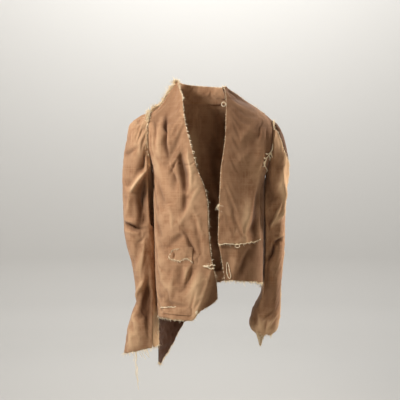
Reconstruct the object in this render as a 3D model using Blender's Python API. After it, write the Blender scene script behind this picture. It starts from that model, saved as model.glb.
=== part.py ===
"""A ragged, unlined canvas jacket in the hollow form that it keeps when it is worn open.

Lengths in the tables are millimetres. +Z is up, +X is the wearer's left and the front faces -Y.
The origin is the middle of the neck, level with the neck end of the shoulder seams.

The body is a stack of rounded sections. Each panel is cut from it between two edges, and each
sleeve is a row of rings that starts on its armhole. Folds are soft ridges and troughs pushed out
along the surface, and every panel is then given its wall.
"""

import math

import bmesh
import bpy
import numpy as np
from mathutils import Vector
from mathutils.bvhtree import BVHTree

MM = 0.001

# Cloth
WALL = 2.0
SEAM_GAP = 0.4
LAYER_GAP = 0.9

# Body sections are a little squarer than an ellipse
SQUARENESS = 0.9

# Each armhole and each sleeve ring is divided into steps of this many degrees
RING_STEP = 18


class Table:
    """Rows of numbers under named columns, read smoothly between the rows by the first column."""

    def __init__(self, columns, *rows):
        self.columns = columns
        self.rows = np.array(sorted(rows), float)

    def read(self, name, at):
        x = self.rows[:, 0]
        y = self.rows[:, self.columns.index(name)]
        step = np.diff(x)
        rise = np.diff(y) / step
        product = rise[:-1] * rise[1:]
        total = np.where(rise[:-1] + rise[1:] == 0, 1, rise[:-1] + rise[1:])
        inner = np.where(product > 0, 2 * product / total, 0)
        slope = np.concatenate((rise[:1], inner, rise[-1:]))
        at = np.clip(np.asarray(at, float), x[0], x[-1])
        i = np.clip(np.searchsorted(x, at) - 1, 0, len(step) - 1)
        t = (at - x[i]) / step[i]
        return (
            y[i] * (1 + 2 * t) * (1 - t) ** 2
            + slope[i] * step[i] * t * (1 - t) ** 2
            + y[i + 1] * t**2 * (3 - 2 * t)
            + slope[i + 1] * step[i] * t**2 * (t - 1)
        )


# Body sections from collar to tail: reach to the wearer's right and left, in front and behind,
# and the Y of the widest place, where the side seams run
BODY = Table(
    ("z", "right", "left", "front", "back", "middle"),
    (75, 84, 58, 42, 66, 0),
    (52, 98, 68, 50, 68, 0),
    (28, 117, 100, 62, 73, 0),
    (0, 132, 138, 74, 82, 0),
    (-25, 166, 178, 86, 92, 0),
    (-49, 175, 208, 96, 102, 0),
    (-90, 180, 211, 110, 113, 0),
    (-140, 176, 206, 120, 119, 0),
    (-190, 163, 194, 126, 120, 0),
    (-215, 161, 187, 127, 120, 0),
    (-260, 158, 182, 114, 132, -14),
    (-320, 156, 180, 95, 150, -34),
    (-400, 154, 178, 86, 159, -44),
    (-500, 151, 177, 84, 163, -48),
    (-600, 146, 176, 85, 166, -48),
    (-810, 143, 176, 87, 170, -48),
)
# The side seams start at the underarm, straight to the side, and then run behind the widest place
SIDE_SEAM = Table(("below", "turn"), (0, 90), (45, 95), (105, 104), (185, 108), (600, 108))

# Armholes: the shoulder tip, the underarm, the Y of the front and back, and how far it bows out
ARMHOLES = {
    "right": {"side": -1, "tip": -25, "underarm": -190, "front": -60, "back": 60, "bow": -9},
    "left": {"side": 1, "tip": -49, "underarm": -215, "front": -60, "back": 60, "bow": 6},
}

# Sleeve rings below the armhole: the outer point, the inner point, the Y of the front and back,
# and how far the ring bows out. The first ring is the armhole, so these start at number 1
RING_COLUMNS = ("number", "outer_x", "outer_z", "inner_x", "inner_z", "front", "back", "bow")
RIGHT_RINGS = (
    (1, -192, -29, -163.6, -199, -65, 66, -8),
    (2, -214, -42, -162.8, -210, -66, 70, -5),
    (3, -231, -61, -161.6, -223, -64, 73, -2),
    (4, -240, -92, -159.8, -240, -60, 75, 0),
    (5, -249, -138, -158, -262, -56, 76, 0),
    (6, -254, -190, -156.2, -288, -52, 76, 0),
    (7, -257, -248, -154.5, -318, -48, 76, 0),
    (8, -255, -312, -152, -356, -45, 76, 0),
    (9, -252, -380, -150, -402, -42, 77, 0),
    (10, -243, -438, -149, -446, -40, 78, 0),
    (11, -229, -488, -148, -492, -38, 78, 0),
    (12, -219, -545, -147, -546, -36, 76, 0),
    (13, -214, -597, -145, -596, -35, 72, 0),
    (14, -226, -640, -144, -636, -34, 66, 0),
    (15, -241, -700, -143, -688, -34, 58, 0),
    (16, -251, -769, -143, -745, -32, 52, 0),
)
LEFT_RINGS = (
    (1, 222, -58, 188, -222, -65, 66, 5),
    (2, 235, -78, 186, -233, -65, 70, 3),
    (3, 247, -108, 183.4, -248, -62, 73, 1),
    (4, 255, -140, 181, -266, -58, 75, 0),
    (5, 259, -172, 179.4, -285, -54, 76, 0),
    (6, 257, -215, 179, -307, -50, 76, 0),
    (7, 251, -262, 180, -333, -47, 76, 0),
    (8, 249, -322, 181, -368, -44, 76, 0),
    (9, 248, -385, 181, -411, -42, 76, 0),
    (10, 247, -434, 181, -451, -40, 76, 0),
    (11, 243, -480, 181, -491, -38, 76, 0),
    (12, 240, -522, 180, -532, -36, 76, 0),
    (13, 237, -566, 175, -577, -36, 74, 0),
    (14, 236, -602, 162, -606, -38, 70, 0),
    (15, 234, -636, 150, -628, -40, 64, 0),
    (16, 231, -663, 141, -655, -42, 58, 0),
    (17, 227, -684, 137, -676, -42, 54, 0),
    (18, 219, -699, 143, -694, -36, 44, 0),
    (19, 206, -709, 158, -707, -24, 30, 0),
)

# Away from the armholes the sleeves are flatter in front than an ellipse
SLEEVE_SQUARENESS = 0.85
SLEEVE_SQUARE_FROM = 3
# The gathered end of the left sleeve hangs down to a point on its front
CUFF_POINT = Table(("number", "drop"), (0, 0), (16.5, 0), (18, 10), (19, 34))
CUFF_POINT_TURN = 114
CUFF_POINT_WIDTH = 26

# Front edges: the X of the raw edge at each height
RIGHT_EDGE = Table(
    ("z", "x"),
    (75, -82),
    (50, -77),
    (20, -67),
    (-33, -64),
    (-83, -55),
    (-144, -39),
    (-205, -22),
    (-271, 2),
    (-310, 8),
    (-386, 11),
    (-481, 21),
    (-550, 36),
    (-592, 39),
    (-660, 39),
)
LEFT_EDGE = Table(
    ("z", "x"),
    (56, 56),
    (0, 64),
    (-33, 62),
    (-90, 61),
    (-143, 55),
    (-207, 46),
    (-270, 43),
    (-305, 41),
    (-420, 38),
    (-436, 42),
    (-514, 55),
    (-560, 60),
)

# Hems: the height of the raw edge, by the share of the panel's width
RIGHT_HEM = Table(
    ("share", "z"),
    (0, -592),
    (0.05, -607),
    (0.14, -628),
    (0.21, -652),
    (0.43, -651),
    (1, -644),
)
LEFT_HEM = Table(("share", "z"), (0, -534), (0.2, -536), (0.55, -544), (1, -549))
# The back hem runs from the long tail on the wearer's right up to the left side seam
BACK_HEM = Table(
    ("share", "z"),
    (0, -798),
    (0.04, -806),
    (0.09, -796),
    (0.2, -757),
    (0.31, -695),
    (0.42, -640),
    (0.5, -594),
    (0.58, -560),
    (0.7, -550),
    (1, -549),
)
BACK_TAIL_ROWS = 4
# The loose upper layer on the left front: its raw bottom edge, and where its side edge runs
LAPEL_HEM = Table(("share", "z"), (0, -426), (0.5, -424), (0.75, -421), (1, -412))
LAPEL_COLUMNS = 9
LAPEL_SIDE = Table(("z", "share"), (56, 0.69), (-215, 0.69), (-300, 0.6), (-412, 0.56), (-549, 0.58))

# Shoulder line above the armholes
COLLAR_SEAM = 12
RIGHT_NECK_LEVELS = (75, 52, 28, COLLAR_SEAM, -2, -14)
LEFT_NECK_LEVELS = (56, 40, 26, COLLAR_SEAM, -9, -30)
COLLAR_LEVELS = 4

# Largest folds, as seen from in front or behind: a line from a to b, the width of its slope on
# the right and left hand going from a to b, and its height, which is below 0 for a trough
FOLD_COLUMNS = ("ax", "az", "bx", "bz", "right", "left", "height")
RIGHT_FRONT_FOLDS = (
    (-127, -25, -112, -158, 9, 9, -8),
    (-139, -40, -137, -190, 10, 9, 5),
    (-100, -189, -87, -272, 9, 9, -6),
    (-75, -149, -53, -279, 12, 10, -10),
    (-53, -279, -60, -335, 11, 10, -6),
    (-57, -140, -17, -300, 16, 16, 6),
    (-79, -341, -45, -452, 10, 10, 7),
    (-70, -363, -28, -466, 8, 16, -9),
    (-65, -394, -102, -424, 10, 10, -6),
    (-76, -486, -74, -558, 10, 10, -6),
    (-57, -490, -57, -545, 9, 9, 8),
    (-43, -492, -60, -568, 9, 9, -8),
    (-18, -505, -42, -640, 18, 16, 9),
    (44, -540, 6, -646, 34, 26, -30),
)
LEFT_FRONT_FOLDS = (
    (149, -40, 90, -146, 14, 14, 6),
    (152, -87, 84, -163, 12, 12, -7),
    (146, -140, 74, -210, 10, 10, 5),
    (171, -70, 160, -190, 10, 10, 5),
    (160, -150, 146, -262, 18, 18, 8),
    (146, -262, 98, -412, 20, 20, 9),
    (160, -256, 138, -412, 15, 15, -10),
    (70, -300, 66, -420, 14, 14, 4),
    (96, -452, 86, -526, 12, 12, 7),
    (127, -466, 95, -512, 10, 10, -8),
)
BACK_FOLDS = (
    (-110, -60, -60, -330, 26, 26, -8),
    (-40, -40, -30, -420, 24, 24, 7),
    (30, -90, 20, -560, 26, 26, -8),
    (95, -70, 70, -360, 24, 24, 7),
    (140, -250, 110, -540, 22, 22, -8),
    (-90, -380, -120, -740, 24, 24, 9),
    (-30, -440, -60, -640, 22, 22, -7),
)
RIGHT_SLEEVE_FOLDS = (
    (-205, -133, -190, -212, 12, 14, -9),
    (-160, -172, -221, -265, 11, 11, 8),
    (-172, -232, -182, -360, 18, 14, -13),
    (-246, -376, -196, -376, 9, 9, -7),
    (-186, -418, -210, -586, 16, 13, 7),
    (-166, -480, -182, -606, 14, 14, -8),
    (-196, -650, -206, -756, 18, 18, 5),
)
LEFT_SLEEVE_FOLDS = (
    (228, -233, 244, -312, 10, 10, 6),
    (243, -320, 204, -380, 8, 10, 7),
    (203, -262, 196, -366, 13, 13, -9),
    (246, -410, 218, -432, 9, 9, -7),
    (218, -432, 184, -484, 9, 9, -7),
    (212, -500, 204, -620, 16, 16, 5),
)

# Seams along each sleeve, in degrees round the ring from its outer side through the front.
# The torn seam of the left sleeve crosses its cap and then runs down the outer side
RIGHT_FRONT_SEAM = 126
RIGHT_BACK_SEAM = -108
RIGHT_VENT_START = 12.6
RIGHT_VENT_OPENING = 12
LEFT_TORN_SEAM = Table(
    ("number", "turn"),
    (0, 38),
    (1, 49),
    (2, 56),
    (3, 55),
    (4, 46),
    (5, 31),
    (6, 16),
    (8, 5),
    (19, 3),
)
LEFT_INNER_SEAM = 198
TORN_EDGE_LIFT = 3.0
TORN_END = 8

# Small pieces that lie on the right front, by x: the pocket flap, the turned-up hem and the tab
PATCH_LIFT = 1.0
TAB_LIFT = 0.35
PATCH_WALL = 1.4
FLAP_ACROSS = (-109, -38)
FLAP_TOP = Table(("x", "z"), (-109, -438), (-38, -434))
FLAP_EDGE = Table(("x", "z"), (-109, -462), (-96, -473), (-76, -475), (-56, -468), (-38, -479))
BAND_ACROSS = (-128, -42)
BAND_TOP = Table(("x", "z"), (-128, -614), (-42, -615))
BAND_EDGE = Table(("x", "z"), (-128, -634), (-42, -637))
TAB_ACROSS = (1, 18)
TAB_TOP = Table(("x", "z"), (1, -484), (18, -481))
TAB_EDGE = Table(("x", "z"), (1, -493), (18, -491))

# Raw seam edges. Threads per edge, the height of the band that they stand in, their length and
# how far they droop
THREAD = 1.4
ROOT_GAP = 0.5
FRAY = {
    "shoulder": {"seed": 3, "threads": 16, "band": 7, "length": 8, "droop": 0},
    "hem": {"seed": 5, "threads": 20, "band": 2, "length": 7, "droop": 0.5},
    "cuff": {"seed": 8, "threads": 9, "band": 2, "length": 14, "droop": 0.6, "long": 4},
}
LONG_THREAD = 112

# Cloth colours, as linear values
CANVAS = (0.37, 0.20, 0.10, 1)
SHADED_CANVAS = (0.26, 0.13, 0.065, 1)
BARE_THREAD = (0.72, 0.58, 0.38, 1)


def unit(vectors):
    return vectors / np.linalg.norm(vectors, axis=-1, keepdims=True)


def ease(x):
    """0 below 0, 1 above 1 and smooth between."""
    x = np.clip(x, 0, 1)
    return x * x * (3 - 2 * x)


def body_point(angle, z):
    """A point of the body. The angle is 0 in front, 90 on the wearer's left and 180 behind."""
    turn = np.radians(angle)
    across, along = np.sin(turn), np.cos(turn)
    reach = np.where(across < 0, BODY.read("right", z), BODY.read("left", z))
    depth = np.where(along < 0, BODY.read("back", z), BODY.read("front", z))
    x = reach * np.sign(across) * abs(across) ** SQUARENESS
    y = BODY.read("middle", z) - depth * np.sign(along) * abs(along) ** SQUARENESS
    return np.stack(np.broadcast_arrays(x, y, z), axis=-1)


def body_angle(x, y, z):
    """The angle at which a point outside or inside the body stands."""
    reach = np.where(np.asarray(x) < 0, BODY.read("right", z), BODY.read("left", z))
    forward = BODY.read("middle", z) - y
    depth = np.where(forward < 0, BODY.read("back", z), BODY.read("front", z))
    across = np.sign(x) * abs(x / reach) ** (1 / SQUARENESS)
    along = np.sign(forward) * abs(forward / depth) ** (1 / SQUARENESS)
    return np.degrees(np.arctan2(across, along))


def front_angle(x, z):
    """The angle of the place on the front of the body that lies at x."""
    reach = np.where(np.asarray(x) < 0, BODY.read("right", z), BODY.read("left", z))
    share = np.clip(abs(x / reach), 0, 1) ** (1 / SQUARENESS)
    return np.degrees(np.sign(x) * np.arcsin(share))


def body_normal(angle, z):
    turn, rise = 1.0, 1.5
    round_it = body_point(angle + turn, z) - body_point(angle - turn, z)
    up_it = body_point(angle, z + rise) - body_point(angle, z - rise)
    return unit(np.cross(round_it, up_it))


def ring_table(name):
    """The rings of a sleeve, with its armhole as number 0."""
    hole = ARMHOLES[name]
    column = "right" if hole["side"] < 0 else "left"
    tip_x = hole["side"] * float(BODY.read(column, hole["tip"]))
    under_x = hole["side"] * float(BODY.read(column, hole["underarm"]))
    armhole = (0, tip_x, hole["tip"], under_x, hole["underarm"], hole["front"], hole["back"], hole["bow"])
    return Table(RING_COLUMNS, armhole, *(RIGHT_RINGS if name == "right" else LEFT_RINGS))


RINGS = {name: ring_table(name) for name in ARMHOLES}


def sleeve_point(name, number, turn):
    """A point of a sleeve: 0 degrees is its outer side, 90 its front and 180 its inner side."""
    rings = RINGS[name]
    at = {c: rings.read(c, number) for c in RING_COLUMNS[1:]}
    power = 1 + (SLEEVE_SQUARENESS - 1) * ease(number / SLEEVE_SQUARE_FROM)
    turn = np.radians(turn)
    out, forward = (np.sign(s) * abs(s) ** power for s in (np.cos(turn), np.sin(turn)))
    x = (at["outer_x"] + at["inner_x"]) / 2 + (at["outer_x"] - at["inner_x"]) / 2 * out
    y = (at["front"] + at["back"]) / 2 + (at["front"] - at["back"]) / 2 * forward
    z = (at["outer_z"] + at["inner_z"]) / 2 + (at["outer_z"] - at["inner_z"]) / 2 * out
    if name == "left":
        place = (np.degrees(turn) - CUFF_POINT_TURN) / CUFF_POINT_WIDTH
        z = z - CUFF_POINT.read("drop", number) * np.exp(-(place**2))
    return np.stack((x + at["bow"] * forward**2, y, z), axis=-1)


def sleeve_normal(name, number, turn):
    """Out of the sleeve."""
    side = ARMHOLES[name]["side"]
    round_it = sleeve_point(name, number, turn + 2) - sleeve_point(name, number, turn - 2)
    low = np.maximum(number - 0.05, 0)
    along_it = sleeve_point(name, low + 0.1, turn) - sleeve_point(name, low, turn)
    return -side * unit(np.cross(along_it, round_it))


def fold_heights(points, facing, folds):
    """The height of all folds at points seen along Y. Facing weakens them where the cloth turns away."""
    total = np.zeros(points.shape[:-1])
    place = points[..., (0, 2)]
    for row in folds:
        fold = dict(zip(FOLD_COLUMNS, row))
        start = np.array((fold["ax"], fold["az"]))
        run = np.array((fold["bx"], fold["bz"])) - start
        along = np.clip((place - start) @ run / (run @ run), 0, 1)
        off = place - start - along[..., None] * run
        right_hand = off[..., 0] * run[1] - off[..., 1] * run[0] < 0
        width = np.where(right_hand, fold["right"], fold["left"])
        swell = np.sin(math.pi * (0.15 + 0.7 * along))
        total += fold["height"] * swell * np.exp(-(off**2).sum(-1) / width**2)
    return total * ease(facing * 2)


def armhole_heights(name):
    """The heights at which the steps of an armhole lie, from the shoulder tip to the underarm."""
    hole = ARMHOLES[name]
    middle, half = (hole["tip"] + hole["underarm"]) / 2, (hole["tip"] - hole["underarm"]) / 2
    return [middle + half * math.cos(math.radians(t)) for t in range(0, 181, RING_STEP)]


def armhole_edge(name, z, front):
    """The point of an armhole at each height, on its front or its back."""
    hole = ARMHOLES[name]
    middle, half = (hole["tip"] + hole["underarm"]) / 2, (hole["tip"] - hole["underarm"]) / 2
    turn = np.degrees(np.arccos(np.clip((z - middle) / half, -1, 1)))
    return sleeve_point(name, np.zeros_like(turn), turn if front else -turn)


def lower_heights(start, end, rows):
    """Even steps of height from one line across a panel to another, without the first."""
    return start + (end - start) * np.linspace(0, 1, rows + 1)[1:, None]


def seam_pull(name, z, angle, front):
    """The seam's angle at each height, and how far the panel's side edge is pulled to meet the armhole."""
    hole = ARMHOLES[name]
    inside = (z < hole["tip"] - 0.1) & (z > hole["underarm"] + 0.1)
    target = armhole_edge(name, z, front)
    seam = body_angle(target[..., 0], target[..., 1], z)
    if not front:
        seam = np.where(seam > 0, seam - 360, seam)
    seam = np.where(inside, seam, angle)
    pull = np.where(inside[..., None], target - body_point(seam, z), 0)
    return seam, pull


def side_turn(name, z):
    """How far round from the front a side seam lies at each height."""
    return SIDE_SEAM.read("turn", ARMHOLES[name]["underarm"] - z)


def front_panel(name, edge, neck_levels, hems, columns, folds, spread=None):
    """Points and directions of a front, from its raw edge to its shoulder, armhole and side seam.

    Hems are lines across the panel with the number of rows that lead to each. Spread moves the
    columns, so that one of them follows a line.
    """
    side = ARMHOLES[name]["side"]
    share = np.linspace(0, 1, columns + 1)
    levels = np.array(list(neck_levels) + armhole_heights(name), float)
    z = np.repeat(levels[:, None], columns + 1, axis=1)
    for hem, rows in hems:
        z = np.concatenate((z, lower_heights(z[-1], hem.read("z", share), rows)))
    if spread:
        column, line = spread
        first = line.read("share", z) * share / share[column]
        last = 1 - (1 - line.read("share", z)) * (1 - share) / (1 - share[column])
        share = np.where(share <= share[column], first, last)
    else:
        share = share + 0 * z
    seam, pull = seam_pull(name, z, side * side_turn(name, z), front=True)
    first = front_angle(edge.read("x", z), z)
    near = ease((share - 0.35) / 0.65)[..., None]
    angle = first + (seam - first) * share
    base = body_point(angle, z) + pull * near
    out = body_normal(angle, z)
    raised = fold_heights(base, -out[..., 1], folds) * ease((1 - share) / 0.15)
    points = base + out * raised[..., None]
    points[:, -1] += np.array((-side, -1, 0)) * SEAM_GAP / 2
    return points, out


def back_panel(right_side, left_side, columns, folds):
    """Points and directions of the back, between the side edges of the two fronts."""
    share = np.linspace(0, 1, columns + 1)
    tail = BACK_HEM.read("z", 0)
    right = np.concatenate((right_side, lower_heights(right_side[-1:], tail, BACK_TAIL_ROWS)[:, 0]))
    z = right[:, None] + (left_side - right)[:, None] * share
    progress = np.clip((z[:, :1] - z[0, 0]) / (tail - z[0, 0]), 0, 1)
    z = z + (BACK_HEM.read("z", share) - z[-1]) * progress**3
    first, right_pull = seam_pull("right", z[:, :1], -side_turn("right", z[:, :1]), front=False)
    last, left_pull = seam_pull("left", z[:, -1:], side_turn("left", z[:, -1:]) - 360, front=False)
    angle = first + (last - first) * share
    near_right = ease(1 - share / 0.35)[None, :, None]
    near_left = ease((share - 0.65) / 0.35)[None, :, None]
    base = body_point(angle, z) + right_pull * near_right + left_pull * near_left
    out = body_normal(angle, z)
    calm = ease(share / 0.1) * ease((1 - share) / 0.1)
    points = base + out * (fold_heights(base, out[..., 1], folds) * calm)[..., None]
    points[:, 0] += np.array((1, 1, 0)) * SEAM_GAP / 2
    points[:, -1] += np.array((-1, 1, 0)) * SEAM_GAP / 2
    points[0, :, 2] -= SEAM_GAP / 2
    return points, out


def collar_band(columns):
    """The band that stands up round the back of the neck, between the two fronts."""
    share = np.linspace(0, 1, columns + 1)
    right = np.array(RIGHT_NECK_LEVELS[:COLLAR_LEVELS], float)[:, None]
    left = np.array(LEFT_NECK_LEVELS[:COLLAR_LEVELS], float)[:, None]
    z = right + (left - right) * share
    angle = -90 - 180 * share + 0 * z
    points, out = body_point(angle, z), body_normal(angle, z)
    points[:, 0, 1] += SEAM_GAP / 2
    points[:, -1, 1] += SEAM_GAP / 2
    points[-1, :, 2] += SEAM_GAP / 2
    return points, out


def sleeve_piece(name, first_turn, last_turn, rows, folds, lift=0):
    """One cut piece of a sleeve. Its side seams are the first and last turn, given for each ring.

    Lift raises the torn edge along its first seam.
    """
    rings = np.linspace(0, RINGS[name].rows[-1, 0], rows + 1)
    starts, ends = first_turn(rings), last_turn(rings)
    columns = round((ends[0] - starts[0]) / RING_STEP)
    share = np.linspace(0, 1, columns + 1)
    turn = starts[:, None] + (ends - starts)[:, None] * share
    number = np.repeat(rings[:, None], columns + 1, axis=1)
    base, out = sleeve_point(name, number, turn), sleeve_normal(name, number, turn)
    calm = ease(number / 2.5)
    raised = fold_heights(base, -out[..., 1], folds) * calm
    torn = ease(number / 1.5) * ease((TORN_END - number) / 2) * ease(1 - share / 0.25)
    raised += lift * torn
    points = base + out * raised[..., None]
    points[0, :, 0] += ARMHOLES[name]["side"] * SEAM_GAP / 2
    points[:, 0] += unit(points[:, 1] - points[:, 0]) * SEAM_GAP / 2
    points[:, -1] += unit(points[:, -2] - points[:, -1]) * SEAM_GAP / 2
    return points, out


def triangles(points, keep):
    """The triangles of a grid, each square cut along its shorter diagonal."""
    rows, columns = points.shape[:2]
    for r in range(rows - 1):
        for c in range(columns - 1):
            a, b, d, e = (r, c), (r, c + 1), (r + 1, c + 1), (r + 1, c)
            if np.linalg.norm(points[a] - points[d]) < np.linalg.norm(points[b] - points[e]):
                pair = ((a, b, d), (a, d, e))
            else:
                pair = ((a, b, e), (b, d, e))
            for corners in pair:
                if all(keep[corner] for corner in corners):
                    yield corners


def cloth(name, points, out, material, wall=WALL, keep=None):
    """A closed wall: the outer skin, the inner skin one wall inside it, and the cut edges."""
    keep = np.ones(points.shape[:2], bool) if keep is None else keep
    mesh_maker = bmesh.new()
    outer, inner = {}, {}
    edges = set()
    for corners in triangles(points, keep):
        for corner in corners:
            if corner not in outer:
                outer[corner] = mesh_maker.verts.new(points[corner] * MM)
                inner[corner] = mesh_maker.verts.new((points[corner] - out[corner] * wall) * MM)
        mesh_maker.faces.new([outer[corner] for corner in corners])
        mesh_maker.faces.new([inner[corner] for corner in reversed(corners)])
        edges.update(zip(corners, corners[1:] + corners[:1]))
    for a, b in sorted(edges):
        if (b, a) not in edges:
            mesh_maker.faces.new((outer[b], outer[a], inner[a], inner[b]))
    return finish_mesh(name, mesh_maker, material)


def laid_on(panel, across, upper, lower, columns, rows, lift=PATCH_LIFT):
    """Points of a patch on the front of a panel, between an upper and a lower line given by x."""
    points = panel[0]
    keep = np.ones(points.shape[:2], bool)
    index = {corner: k for k, corner in enumerate(np.ndindex(points.shape[:2]))}
    faces = [[index[corner] for corner in corners] for corners in triangles(points, keep)]
    tree = BVHTree.FromPolygons([Vector(p) for p in points.reshape(-1, 3)], faces)
    x = np.linspace(*across, columns + 1) + np.zeros((rows + 1, 1))
    z = upper.read("z", x) + (lower.read("z", x) - upper.read("z", x)) * np.linspace(0, 1, rows + 1)[:, None]
    forward = np.array((0.0, -1.0, 0.0))
    patch = np.zeros((rows + 1, columns + 1, 3))
    for place in np.ndindex(patch.shape[:2]):
        start = Vector((x[place], -1000, z[place]))
        patch[place] = tree.ray_cast(start, Vector((0, 1, 0)))[0]
    return patch + forward * (lift + PATCH_WALL), forward + 0 * patch


def fringe(name, line, grow, across, style, material):
    """A narrow band along a line with threads that stand out of it, all in one closed body."""
    rng = np.random.default_rng(style["seed"])
    line, grow, across = (np.asarray(a, float) + np.zeros_like(line) for a in (line, grow, across))
    run = np.concatenate(([0], np.cumsum(np.linalg.norm(np.diff(line, axis=0), axis=1))))
    count = style["threads"]
    middles = (np.arange(count) + 0.5 + rng.uniform(-0.25, 0.25, count)) / count * run[-1]
    half = THREAD / 2
    stations = sorted({0.0, run[-1], *(middles - half), *(middles + half)})
    stations += [r for r in run[1:-1] if np.min(abs(r - np.array(stations))) > half]
    stations.sort()
    mesh_maker = bmesh.new()
    sections = []
    for s in stations:
        at, up, side = (np.array([np.interp(s, run, a[:, i]) for i in range(3)]) for a in (line, grow, across))
        tall = style["band"] * rng.uniform(0.75, 1.25)
        foot = at + up * ROOT_GAP
        head = at + up * (ROOT_GAP + tall)
        corners = (foot - side * half, foot + side * half, head + side * half, head - side * half)
        sections.append([mesh_maker.verts.new(p * MM) for p in corners])
    mesh_maker.faces.new(sections[0])
    mesh_maker.faces.new(list(reversed(sections[-1])))
    for s, first, second in zip(stations, sections, sections[1:]):
        for i in range(4):
            j = (i + 1) % 4
            rooted = i == 2 and np.min(abs(s - (middles - half))) < 1e-9
            if not rooted:
                mesh_maker.faces.new((first[i], second[i], second[j], first[j]))
        if np.min(abs(s - (middles - half))) < 1e-9:
            root = [first[2], second[2], second[3], first[3]]
            up = np.array([np.interp(s, run, grow[:, i]) for i in range(3)])
            side = np.array([np.interp(s, run, across[:, i]) for i in range(3)])
            along = unit(np.cross(up, side))
            long = style["length"] * rng.uniform(0.5, 1.3)
            lean = up + side * rng.uniform(-0.2, 0.2) + along * rng.uniform(-0.6, 0.6)
            if "long" in style and abs(s + half - middles[style["long"]]) < half:
                long, lean = LONG_THREAD, up
            middle = np.mean([v.co[:] for v in root], axis=0) + lean * long * 0.5 * MM
            fall = lean * (1 - style["droop"]) + np.array((0, 0, -1)) * style["droop"]
            tip = mesh_maker.verts.new(middle + unit(fall) * long * 0.5 * MM)
            centre = np.mean([v.co[:] for v in root], axis=0)
            ring = [mesh_maker.verts.new(middle + (np.array(v.co[:]) - centre) * 0.7) for v in root]
            for i in range(4):
                j = (i + 1) % 4
                mesh_maker.faces.new((root[i], root[j], ring[j], ring[i]))
                mesh_maker.faces.new((ring[i], ring[j], tip))
    return finish_mesh(name, mesh_maker, material)


def finish_mesh(name, mesh_maker, material):
    bmesh.ops.recalc_face_normals(mesh_maker, faces=mesh_maker.faces)
    mesh = bpy.data.meshes.new(name)
    mesh_maker.to_mesh(mesh)
    mesh_maker.free()
    mesh.materials.append(material)
    mesh.shade_smooth()
    mesh.set_sharp_from_angle(angle=math.radians(50))
    piece = bpy.data.objects.new(name, mesh)
    bpy.context.scene.collection.objects.link(piece)
    return piece


def dyed(name, colour, roughness):
    material = bpy.data.materials.new(name)
    material.use_nodes = True
    shader = material.node_tree.nodes["Principled BSDF"]
    shader.inputs["Base Color"].default_value = colour
    shader.inputs["Roughness"].default_value = roughness
    shader.inputs["Metallic"].default_value = 0
    return material


def clear_scene():
    for thing in list(bpy.data.objects):
        bpy.data.objects.remove(thing)


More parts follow.
